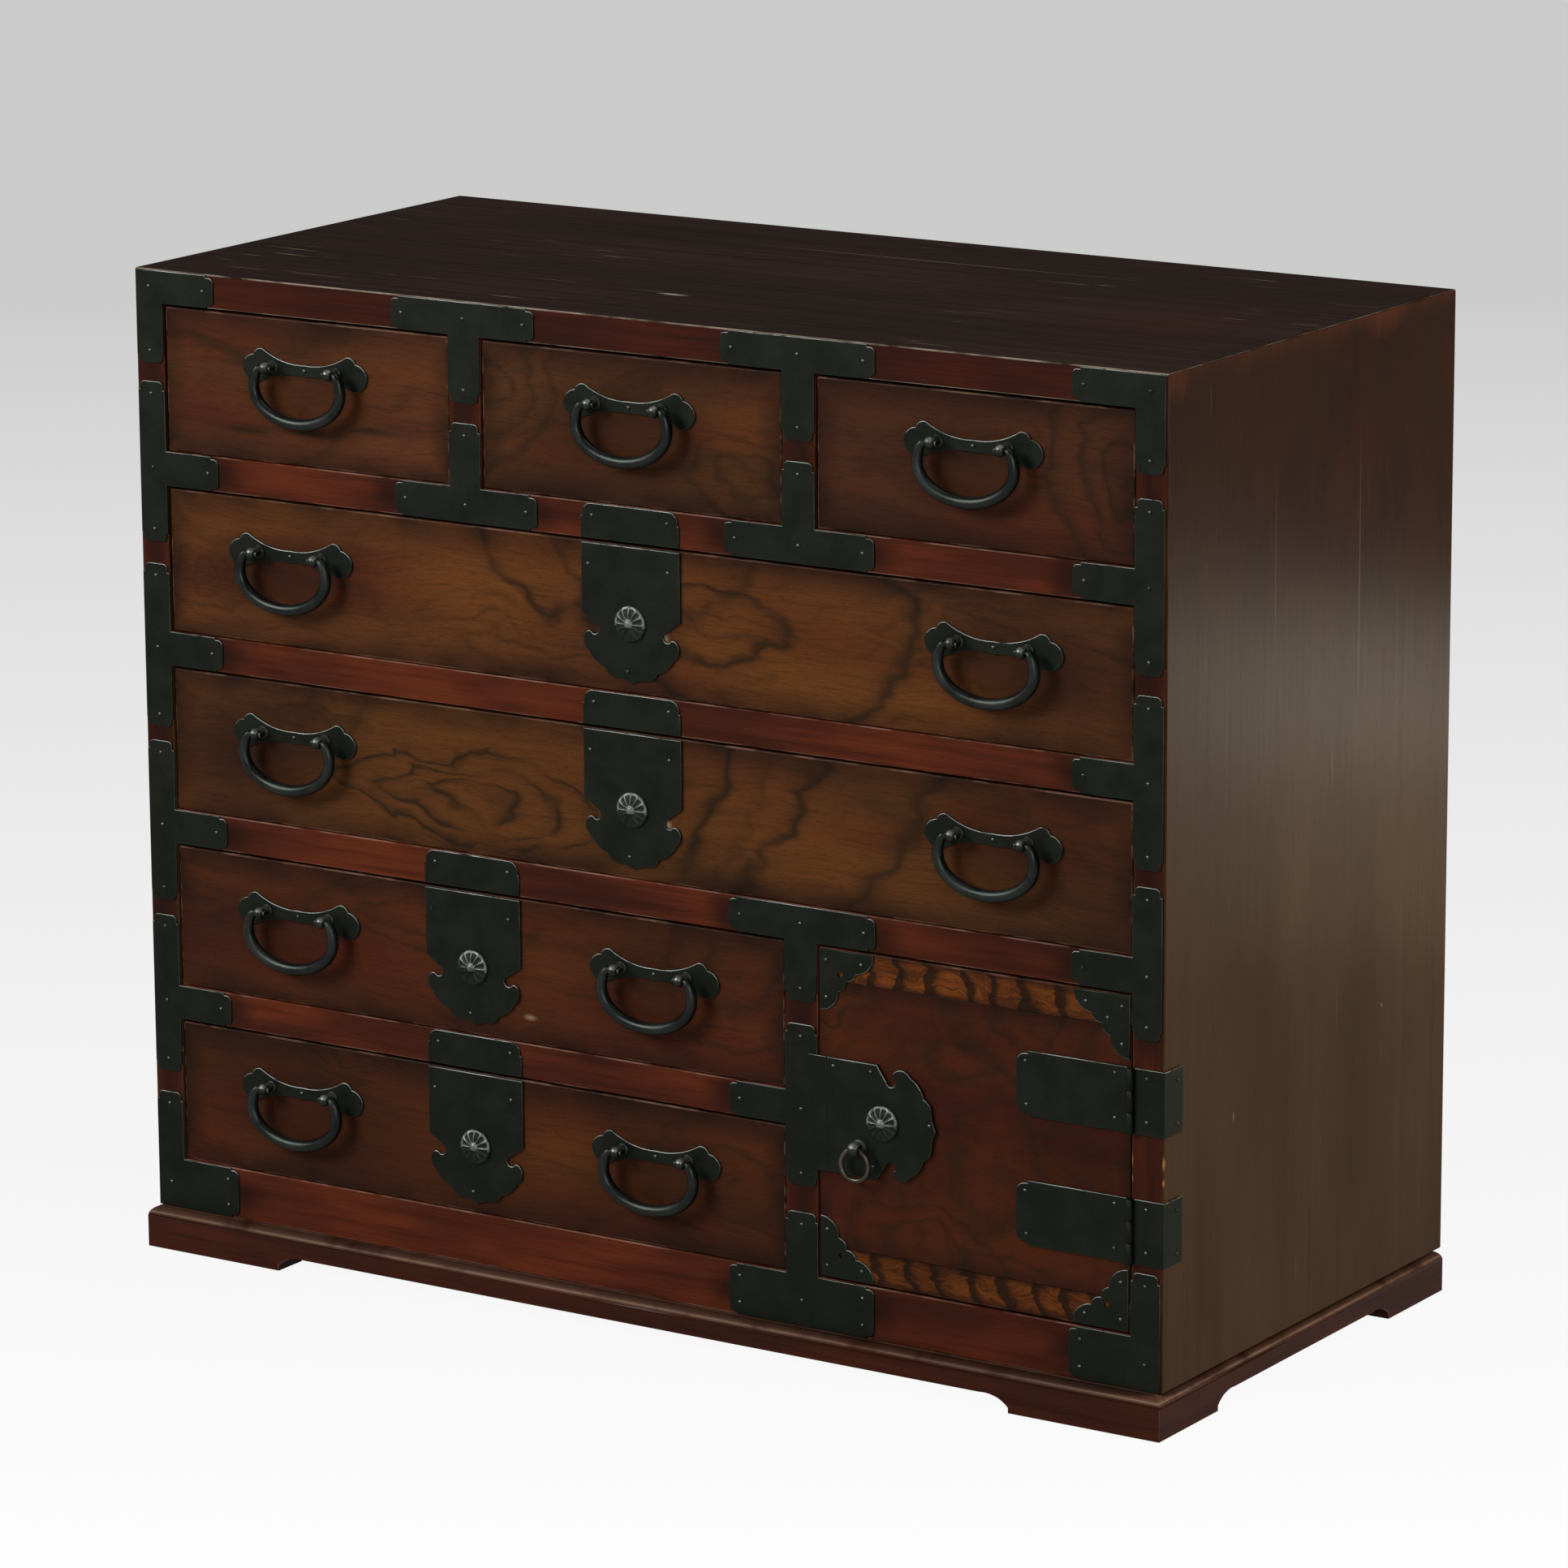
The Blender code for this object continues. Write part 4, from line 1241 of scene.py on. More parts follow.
@dataclass
class FrameRails:
    """Rails and posts between the drawers, with the thin boards behind them, sizes in mm."""

    across: WipedLacquer
    upright: WipedLacquer
    arris: float = 0.9
    rail_depth: float = 45.0

    def build(self) -> None:
        """Build and dress rails and posts."""
        dust = PlainBoard("paulownia_dust_board", Grain.ACROSS, seed=7.0)
        panel = PlainBoard("paulownia_partition", Grain.DEEP, seed=8.0)
        for node in ("upper_shelf", "middle_shelf", "lower_shelf", "short_shelf", "bottom_panel"):
            self.rail(node.split("_")[0] + "_rail", node, self.across, dust)
        for node in ("upper_divider_left", "upper_divider_right", "lower_divider"):
            self.rail(node.replace("divider", "post"), node, self.upright, panel)

    def rail(self, name: str, node: str, lacquer: WipedLacquer, plain: PlainBoard) -> None:
        """Red front member and the plain board behind it.

        Args:
            name: name of the piece.
            node: solid that it replaces.
            lacquer: finish of the front member.
            plain: finish of the board behind.
        """
        low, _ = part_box(node)
        split = low.y + mm(self.rail_depth)
        bm = copy_of_node(node)
        whole = [*bm.verts, *bm.edges, *bm.faces]
        bmesh.ops.bisect_plane(bm, geom=whole, dist=MERGE, plane_co=(0, split, 0), plane_no=(0, 1, 0))
        front = [e for e in corner_edges(bm) if all(v.co.y < low.y + MERGE for v in e.verts)]
        soften(bm, front, mm(self.arris))
        for face in bm.faces:
            face.material_index = int(face.calc_center_median().y > split)
        settle(name, bm, [lacquer, plain], "case", [node])


@dataclass
class Plinth:
    """Four mitred plinth boards with a rounded upper edge and an arch between the feet, sizes in mm."""

    thick: float = 30.0
    upper_round: float = 8.0
    lower_round: float = 0.8
    front_foot: float = 126.0
    side_foot: float = 85.0
    arch_rise: float = 12.0
    arch_end: float = 25.0
    heel: float = 0.35
    arch_bulge: float = 0.6
    gap: float = 0.05
    corner_round: float = 0.7
    # Least upward tilt of a face on the round and its value: wear with a painted highlight where the round
    # catches the light.
    crest_wear_and_highlight: Pairs = ((0.3, 0.3), (0.45, 0.95), (0.6, 0.42), (0.7, 0.24))

    def build(self) -> None:
        """Build and dress the four boards."""
        low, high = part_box("plinth_frame")
        width, depth = high.x - low.x, high.y - low.y
        corners = [
            ("plinth_front", low.x, low.y, width, self.front_foot, 0),
            ("plinth_right", high.x, low.y, depth, self.side_foot, 90),
            ("plinth_back", high.x, high.y, width, self.front_foot, 180),
            ("plinth_left", low.x, high.y, depth, self.side_foot, 270),
        ]
        # The plinth's pale arris colour is mostly a painted highlight on its rounded crest.
        across = WipedLacquer(
            "dark_red_plinth_lacquer", Grain.ACROSS, seed=9.0, ground="3e1d11", bright="4e2413",
            deep="22100b", rubbed_and_lit="a5836f", wear=0.85, bare_from=0.26,
            surface=Surface(0.24, 0.05, 0.08, 0.14),
        )
        deep = replace(across, name="dark_red_plinth_lacquer_deep", grain=Grain.DEEP)
        for name, x, y, length, foot, turn in corners:
            bm = self.board(length * 1000, (high.z - low.z) * 1000, foot)
            move(bm, Matrix.Translation((x, y, low.z)) @ Matrix.Rotation(math.radians(turn), 4, "Z"))
            finish = across if turn in (0, 180) else deep
            stands_for = ["plinth_frame"] if turn == 0 else []
            settle(name, bm, [finish], "case", stands_for)

    def board(self, length: float, height: float, foot: float) -> BMesh:
        """One board along +X from the origin, its face at y = 0.

        Args:
            length: outer length in mm.
            height: height in mm.
            foot: length of each foot in mm.
        Returns:
            Mesh of the mitred board.
        """
        bm = new_bench()
        end, rise, heel = self.arch_end, self.arch_rise, self.arch_rise * self.heel
        hollow = -QUARTER * self.arch_bulge
        legs = [
            Leg(0, height), Leg(length, height), Leg(length, 0), Leg(length - foot, 0),
            Leg(length - foot, heel), Leg(length - foot - end, rise, hollow),
            Leg(foot + end, rise), Leg(foot, heel, hollow), Leg(foot, 0), Leg(0, 0),
        ]
        trace(bm, (0, 0), legs)
        thicken(bm, Vector((0, mm(self.thick), 0)))
        upper = [e for e in bm.edges if all(v.co.z > mm(height) - MERGE and v.co.y < MERGE for v in e.verts)]
        soften(bm, upper, mm(self.upper_round), segments=10, worn=0.0)
        self.rub_and_highlight_crest(bm)
        lower = [e for e in corner_edges(bm, 80, 100) if all(v.co.y < MERGE for v in e.verts)]
        lower = [e for e in lower if all(v.co.z < mm(rise) + MERGE for v in e.verts)]
        soften(bm, lower, mm(self.lower_round), segments=2)
        self.mitre(bm, length)
        return bm

    def rub_and_highlight_crest(self, bm: BMesh) -> None:
        """Paint a highlight on the rounded upper edge, brightest where it catches the light, over its wear.

        Args:
            bm: mesh of the board.
        """
        bm.normal_update()
        layer = bm.faces.layers.float[WEAR_AND_HIGHLIGHT]
        for least, wear in self.crest_wear_and_highlight:
            for face in bm.faces:
                if face.normal.z > least:
                    face[layer] = wear

    def mitre(self, bm: BMesh, length: float) -> None:
        """Cut both ends to 45 degrees and round the outer corners.

        Args:
            bm: mesh of the board.
            length: outer length in mm.
        """
        for x, lean in ((mm(self.gap), -1), (mm(length - self.gap), 1)):
            whole = [*bm.verts, *bm.edges, *bm.faces]
            cut = bmesh.ops.bisect_plane(
                bm, geom=whole, dist=MERGE, plane_co=(x, 0, 0), plane_no=(lean, 1, 0), clear_outer=True
            )
            edges = [e for e in cut["geom_cut"] if isinstance(e, BMEdge)]
            bmesh.ops.edgeloop_fill(bm, edges=edges)
        bmesh.ops.recalc_face_normals(bm, faces=bm.faces[:])
        mitres = [e for e in corner_edges(bm, 130) if all(v.co.y < MERGE for v in e.verts)]
        soften(bm, mitres, mm(self.corner_round), segments=2)


# Ironwork on the case


def shouldered_plate(
    corners: Pairs, free: set[int], step: float, reach: float, radius: float, thickness: float
) -> BMesh:
    """Plate whose free ends have shouldered round corners, sizes in mm.

    Args:
        corners: corners of the outline, clockwise.
        free: numbers of the corners at which a free end starts.
        step: depth of each shoulder.
        reach: distance of the shoulders from the end.
        radius: radius of the round corners.
        thickness: thickness towards -Y.
    Returns:
        Mesh with its back in the XZ plane.
    """
    legs: list[Leg] = []
    count = len(corners)
    for i in range(count):
        here, ahead = Vector(corners[i]), Vector(corners[(i + 1) % count])
        behind = Vector(corners[i - 1])
        if i in free:
            back = (behind - here).normalized()
            over = (ahead - here).normalized()
            shoulder = here + back * reach
            stops = [shoulder, shoulder + over * step, here + over * step + back * radius]
            legs += [Leg(p.x, p.y) for p in stops]
            corner = here + over * (step + radius)
            legs.append(Leg(corner.x, corner.y, QUARTER))
        elif (i - 1) % count in free:
            over = (behind - here).normalized()
            away = (ahead - here).normalized()
            start = here + over * (step + radius)
            legs.append(Leg(start.x, start.y))
            corner = here + over * step + away * radius
            legs.append(Leg(corner.x, corner.y, QUARTER))
            stops = [here + over * step + away * reach, here + away * reach]
            legs += [Leg(p.x, p.y) for p in stops]
        else:
            legs.append(Leg(here.x, here.y))
    bm = new_bench()
    trace(bm, (legs[-1].u, legs[-1].v), legs)
    raise_plate(bm, mm(thickness))
    return bm


@dataclass(frozen=True)
class Strap:
    """Strap over a joint of the frame: the post and rail that it covers, and its reach past them in mm."""

    name: str
    post: str
    rail: str
    below: float = 0.0
    above: float = 0.0
    left: float = 0.0
    right: float = 0.0


STRAPS = [
    Strap("top_left_corner_strap", "left_side_panel", "top_panel", below=46, right=48),
    Strap("left_stile_upper_strap", "left_side_panel", "upper_shelf", below=44, above=53, right=49),
    Strap("left_stile_middle_strap", "left_side_panel", "middle_shelf", below=49, above=52, right=49),
    Strap("left_stile_lower_strap", "left_side_panel", "lower_shelf", below=46, above=53, right=49),
    Strap("left_stile_short_strap", "left_side_panel", "short_shelf", below=43, above=55, right=49),
    Strap("bottom_left_corner_strap", "left_side_panel", "bottom_panel", above=53, right=52),
    Strap("top_right_corner_strap", "right_side_panel", "top_panel", below=46, left=51),
    Strap("right_stile_upper_strap", "right_side_panel", "upper_shelf", below=49, above=50, left=50),
    Strap("right_stile_middle_strap", "right_side_panel", "middle_shelf", below=49, above=50, left=50),
    Strap("right_stile_lower_strap", "right_side_panel", "lower_shelf", below=33, above=52, left=50),
    Strap("bottom_right_corner_strap", "right_side_panel", "bottom_panel", above=48, left=51),
    Strap("left_post_head_strap", "upper_divider_left", "top_panel", below=50, left=51, right=49),
    Strap("right_post_head_strap", "upper_divider_right", "top_panel", below=50, left=52, right=51),
    Strap("left_post_foot_strap", "upper_divider_left", "upper_shelf", above=48, left=50, right=50),
    Strap("right_post_foot_strap", "upper_divider_right", "upper_shelf", above=48, left=50, right=50),
    Strap("lower_post_head_strap", "lower_divider", "lower_shelf", below=45, left=48, right=50),
    Strap("lower_post_cross_strap", "lower_divider", "short_shelf", below=45, above=51, left=49),
    Strap("lower_post_foot_strap", "lower_divider", "bottom_panel", above=48, left=50, right=48),
]


@dataclass
class StrapWork:
    """Iron straps over the joints of the frame, sizes in mm."""

    nails: Nails
    thickness: float = 1.2
    shoulder_step: float = 1.8
    shoulder_reach: float = 6.5
    corner: float = 4.0
    rail_margin: float = 0.3
    left_margin: float = 1.0
    right_margin: float = 1.7
    top_margin: float = 0.6
    nail_from_end: float = 9.5
    tall_rail: float = 35.0
    rail_halo: Spot = Spot(0, 0, 30, 26, 0.85)
    post_halo: Spot = Spot(0, 0, 24, 24, 0.8)

    def build(self) -> None:
        """Build and dress all straps."""
        for strap in STRAPS:
            self.strap(strap)

    def span(self, strap: Strap) -> tuple[float, float, float, float]:
        """Sides of the crossing of a strap's post and rail.

        Args:
            strap: the strap.
        Returns:
            Left, right, lower and upper side in mm.
        """
        post_low, post_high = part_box(strap.post)
        rail_low, rail_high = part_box(strap.rail)
        left, right = post_low.x * 1000, post_high.x * 1000
        low, high = rail_low.z * 1000 + self.rail_margin, rail_high.z * 1000 - self.rail_margin
        if strap.post == "left_side_panel":
            left += self.left_margin
        if strap.post == "right_side_panel":
            right -= self.right_margin
        if strap.rail == "top_panel":
            high = rail_high.z * 1000 - self.top_margin
        return left, right, low, high

    def halos(self) -> tuple[Spots, Spots]:
        """Dark halos past the straps' ends.

        Returns:
            Halos on rails, and halos on posts.
        """
        level, upright = [], []
        for strap in STRAPS:
            x0, x1, z0, z1 = self.span(strap)
            x, z = (x0 + x1) / 2, (z0 + z1) / 2
            level += [replace(self.rail_halo, x=x0 - strap.left, z=z)] if strap.left else []
            level += [replace(self.rail_halo, x=x1 + strap.right, z=z)] if strap.right else []
            upright += [replace(self.post_halo, x=x, z=z1 + strap.above)] if strap.above else []
            upright += [replace(self.post_halo, x=x, z=z0 - strap.below)] if strap.below else []
        return tuple(level), tuple(upright)

    def strap(self, strap: Strap) -> None:
        """Build one strap with its nails.

        Args:
            strap: the strap's joint and reach.
        """
        x0, x1, z0, z1 = self.span(strap)
        left, right = x0 - strap.left, x1 + strap.right
        foot, head = z0 - strap.below, z1 + strap.above
        x, z, inset = (x0 + x1) / 2, (z0 + z1) / 2, self.nail_from_end
        rows = [z0 + inset, z1 - inset] if z1 - z0 > self.tall_rail else [z]
        left_nails = [(left + inset, row) for row in rows]
        right_nails = [(right - inset, row) for row in rows]
        arms = [
            (strap.left, strap.above, (x0, z1), [(x0, head), (x1, head)], [(x, head - inset)]),
            (strap.above, strap.right, (x1, z1), [(right, z1), (right, z0)], right_nails),
            (strap.right, strap.below, (x1, z0), [(x1, foot), (x0, foot)], [(x, foot + inset)]),
            (strap.below, strap.left, (x0, z0), [(left, z0), (left, z1)], left_nails),
        ]
        corners: list[tuple[float, float]] = []
        free: set[int] = set()
        nails = [(x, z)]
        for before, reach, crossing, end, spots in arms:
            if bool(before) == bool(reach):
                corners.append(crossing)
            if reach:
                free.add(len(corners))
                corners += end
                nails += spots
        step, shoulder = self.shoulder_step, self.shoulder_reach
        bm = shouldered_plate(corners, free, step, shoulder, self.corner, self.thickness)
        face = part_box(strap.post)[0].y - SKIN
        move(bm, Matrix.Translation((0, face, 0)))
        self.nails.drive(bm, [Vector((mm(x), face - mm(self.thickness), mm(z))) for x, z in nails])
        settle(strap.name, bm, [IRON], "case")


@dataclass
class StrikePlates:
    """Plates on the rails over the lock plates, sizes in mm."""

    nails: Nails
    width: float = 86.0
    thickness: float = 1.2
    margin: float = 0.4
    shoulder_step: float = 1.0
    shoulder_reach: float = 10.0
    corner: float = 8.0
    nail_x: float = 33.0
    nail_down: float = 9.0

    def build(self) -> None:
        """Build and dress the four plates."""
        rails = {
            "upper_wide": "upper_shelf", "lower_wide": "middle_shelf",
            "left_upper": "lower_shelf", "left_lower": "short_shelf",
        }
        for drawer, rail in rails.items():
            lock_low, lock_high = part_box(drawer + "_lock_plate")
            rail_low, rail_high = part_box(rail)
            middle = (lock_low.x + lock_high.x) / 2
            half = self.width / 2
            low, high = rail_low.z * 1000 + self.margin, rail_high.z * 1000 - self.margin
            corners = [(-half, low), (-half, high), (half, high), (half, low)]
            step, shoulder = self.shoulder_step, self.shoulder_reach
            bm = shouldered_plate(corners, {1}, step, shoulder, self.corner, self.thickness)
            face = rail_low.y - SKIN
            move(bm, Matrix.Translation((middle, face, 0)))
            out, z = face - mm(self.thickness), mm(high - self.nail_down)
            self.nails.drive(bm, [Vector((middle + mm(x), out, z)) for x in (-self.nail_x, self.nail_x)])
            settle(drawer + "_strike_plate", bm, [IRON], "case")


# Drawers


# Profile of a rosette from its back to its eye: share of the radius and of the rise
ROSETTE_SHARES = [
    (0.0, -0.1), (1.0, -0.1), (1.0, 0.12), (0.95, 0.4), (0.84, 0.62), (0.68, 0.78), (0.5, 0.86),
    (0.36, 0.82), (0.28, 0.7), (0.25, 0.72), (0.22, 0.86), (0.14, 0.97), (0.0, 1.0),
]


@dataclass
class Rosette:
    """Domed boss with twelve petals, sizes in mm."""

    radius: float = 13.5
    rise: float = 5.0
    petals: int = 12
    steps: int = 120
    hollow: float = 0.3

    def __post_init__(self) -> None:
        """Turn the dome and hollow the petals."""
        bm = turned([(r * self.radius, h * self.rise) for r, h in ROSETTE_SHARES], self.steps)
        worn = bm.faces.layers.float[WEAR_AND_HIGHLIGHT]
        for vert in bm.verts:
            vert.co.z -= mm(self.rise) * self.hollow * (1 - self.ridge(vert.co))
        bm.normal_update()
        # Painted highlight on the outward ridges of the upper half only; the lower half stays dark.
        for face in bm.faces:
            middle = face.calc_center_median()
            lit = 0.8 if middle.y > -mm(self.radius) * 0.15 else 0.08
            face[worn] = lit if self.ridge(middle) > 0.5 and face.normal.z > 0 else 0.05
        self.stencil = mesh_of(bm)

    def ridge(self, point: Vector) -> float:
        """How near a point of the dome is to a ridge.

        Args:
            point: the point in metres.
        Returns:
            One on the rim, on the eye and between two petals, and nothing in a petal's middle.
        """
        radius = math.hypot(point.x, point.y) / mm(self.radius)
        if radius < 0.3 or radius > 0.88 or point.z < 0:
            return 1.0
        turn = math.atan2(point.y, point.x) / math.tau * self.petals
        return 1 - math.sin(math.pi * (turn % 1.0)) ** 0.4


# Half outlines from the top to the bottom: share of half width, share of height, bulge to the next point
PULL_SHARES = [
    (0.0, 0.26, -0.16), (0.67, 0.98, 0.40), (0.82, 0.63, 0.36),
    (1.0, -0.15, 0.42), (0.765, -1.0, -0.14), (0.0, -0.46, 0.0),
]
LOBE_SHARES = [
    (1.0, 0.0, 0.0), (0.73, -0.16, -1.15), (0.78, -0.31, 0.45), (0.91, -0.29, 0.50),
    (0.87, -0.57, 0.22), (0.53, -0.80, 0.30), (0.34, -0.93, -0.12), (0.0, -1.0, 0.0),
]


def half_legs(
    shares: Sequence[tuple[float, float, float]], width: float, height: float, down: float = 0.0
) -> list[Leg]:
    """Legs in mm of a half outline after its first point, from shares of half width and height."""
    pairs = zip(shares, shares[1:])
    return [Leg(u * width, v * height - down, bulge) for (_, _, bulge), (u, v, _) in pairs]


def ball_post(
    foot: Pairs, head: float, centre: float, bore: float, sides: int, bore_sides: int
) -> Mesh:
    """Post along +Z whose ball head is bored along X, with a painted highlight where it will look up.

    Args:
        foot: radius and height in mm of each point of the profile up to the neck.
        head: radius of the ball in mm.
        centre: height of the ball's middle in mm.
        bore: radius of the hole in mm.
        sides: steps of the turned post.
        bore_sides: steps of the hole.
    Returns:
        Mesh of the post.
    """
    rings = [math.radians(a) for a in range(-40, 90, 10)]
    ball = [(head * math.cos(a), centre + head * math.sin(a)) for a in rings]
    post = turned([*foot, *ball, (0.0, centre + head)], sides)
    neck = mm(foot[-1][1])
    # Painted highlight on the upper side of the ball head.
    rub_and_highlight(post, post.faces, lambda face: face.normal.y > 0.35 and face.calc_center_median().z > neck, 0.9, 0.1)
    reach = head * 1.5
    rod = turned([(0, -reach), (bore, -reach), (bore, reach), (0, reach)], bore_sides)
    move(rod, Matrix.Translation((0, 0, mm(centre))) @ TO_RIGHT)
    return carve(mesh_of(post), mesh_of(rod))


@dataclass
class PullHandle:
    """Winged plate, two posts and the bail between them, sizes in mm."""

    nails: Nails
    half_width: float = 57.6
    half_height: float = 13.1
    thickness: float = 1.4
    edge: float = 0.6
    axis_out: float = 11.5
    post_spacing: float = 58.0
    post_foot: float = 0.4
    post_waist: float = 2.6
    neck: float = 3.3
    head: float = 4.5
    collar: float = 5.2
    pin: float = 2.2
    pin_gap: float = 0.3
    pin_proud: float = 0.9
    pin_round: float = 0.6
    nail_down: float = 1.2
    rod: float = 4.5
    swell: float = 0.4
    shoulder_out: float = 6.5
    shoulder_drop: float = 14.0
    drop: float = 40.0
    sides: int = 20

    def __post_init__(self) -> None:
        """Shape the plate and the bail once, round the bail's axis."""
        self.plate_stencil = self.plate()
        self.bail_stencil = mesh_of(self.bail())

    def plate(self) -> Mesh:
        """Plate with its posts, bored for the bail.

        Returns:
            Mesh round the bail's axis.
        """
        back = mm(self.axis_out) - SEAT
        face = back - mm(self.thickness)
        bm = new_bench()
        top = (0, PULL_SHARES[0][1] * self.half_height)
        trace(bm, top, half_legs(PULL_SHARES, self.half_width, self.half_height))
        mirror_half(bm)
        raise_plate(bm, mm(self.thickness), mm(self.edge))
        move(bm, Matrix.Translation((0, back, 0)))
        foot = [
            (0.0, -self.post_foot), (self.collar, -self.post_foot), (self.collar, 0.5),
            (self.collar * 0.86, 1.2), (self.neck * 1.1, 1.7), (self.neck, self.post_waist),
        ]
        post = ball_post(foot, self.head, face * 1000, self.pin + self.pin_gap, 24, 16)
        for x in (-self.post_spacing / 2, self.post_spacing / 2):
            stamp(bm, post, Matrix.Translation((mm(x), face, 0)) @ TO_FRONT)
        self.nails.drive(bm, [Vector((0, face, -mm(self.nail_down)))])
        return mesh_of(bm)

    def bail(self) -> BMesh:
        """Bowed handle hanging from its axis, pins turned in to the posts.

        Returns:
            Mesh round the bail's axis.
        """
        pin_end = self.post_spacing / 2 - self.head - self.pin_proud
        bend = self.post_spacing / 2 + self.head
        half = bend + self.shoulder_out
        low = -self.shoulder_drop
        quarter = [math.radians(a) for a in range(0, 91, 9)]
        right = [(pin_end, 0.0), (pin_end + self.pin_proud, 0.0)]
        right += [(bend + self.shoulder_out * math.sin(a), low - low * math.cos(a)) for a in quarter]
        right += [(half * math.cos(a), low - (self.drop + low) * math.sin(a)) for a in quarter[1:]]
        swell = [max(0.0, i - 2) / (len(right) - 3) for i in range(len(right))]
        radii = [self.pin + (self.rod - self.pin) * math.sin(s * math.pi / 2) ** self.swell for s in swell]
        path = [Vector((-mm(x), 0, mm(z))) for x, z in right]
        path += [Vector((mm(x), 0, mm(z))) for x, z in reversed(right[:-1])]
        sizes = [mm(r) for r in radii + radii[-2::-1]]
        bm = swept(path, sizes, self.sides, Vector((0, 1, 0)))
        ends = [e for f in bm.faces if len(f.verts) > 4 for e in f.edges]
        soften(bm, ends, mm(self.pin_round), worn=0.5)
        return bm

    def hang(self, name: str, drawer: str) -> None:
        """Put a plate and a bail on a drawer.

        Args:
            name: start of the solids' names, up to pull_plate and bail.
            drawer: body of the drawer.
        """
        axis = joint_place(name + "bail_swing")
        plate = new_bench()
        stamp(plate, self.plate_stencil, Matrix.Translation(axis))
        settle(name + "winged_plate", plate, [IRON], drawer, [name + "pull_plate"])
        bail = new_bench()
        stamp(bail, self.bail_stencil, Matrix.Translation(axis))
        settle(name + "bail_handle", bail, [HANDLED_IRON], name + "bail", [name + "bail"])


@dataclass
class LockPlate:
    """Lock plate with hooked lobes and a rosette, sizes in mm."""

    nails: Nails
    rosette: Rosette
    half_width: float = 43.25
    lobe: float = 50.0
    thickness: float = 1.6
    edge: float = 0.6
    rosette_up: float = 45.0
    nail_spots: Pairs = ((-37, -16), (33, -16), (-3, -93))

    def outline(self, straight: float) -> BMesh:
        """Outline with its top edge at zero.

        Args:
            straight: height of the straight upper part in mm.
        Returns:
            Mesh that holds the closed outline.
        """
        bm = new_bench()
        legs = [Leg(self.half_width, 0), Leg(self.half_width, -straight)]
        legs += half_legs(LOBE_SHARES, self.half_width, self.lobe, straight)
        trace(bm, (0, 0), legs)
        mirror_half(bm)
        return bm

    def hang(self, name: str, drawer: str) -> None:
        """Put a lock plate on a drawer front.

        Args:
            name: drawer's name.
            drawer: body of the drawer.
        """
        node = name + "_lock_plate"
        low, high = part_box(node)
        height = (high.z - low.z) * 1000
        bm = self.outline(height - self.lobe)
        raise_plate(bm, mm(self.thickness), mm(self.edge))
        middle = (low.x + high.x) / 2
        move(bm, Matrix.Translation((middle, high.y, high.z)))
        face = high.y - mm(self.thickness)
        boss = Matrix.Translation((middle, face, low.z + mm(self.rosette_up))) @ TO_FRONT
        stamp(bm, self.rosette.stencil, boss)
        self.nails.drive(bm, [Vector((middle + mm(x), face, high.z + mm(z))) for x, z in self.nail_spots])
        settle(name + "_lobed_lock_plate", bm, [IRON], drawer, [node])


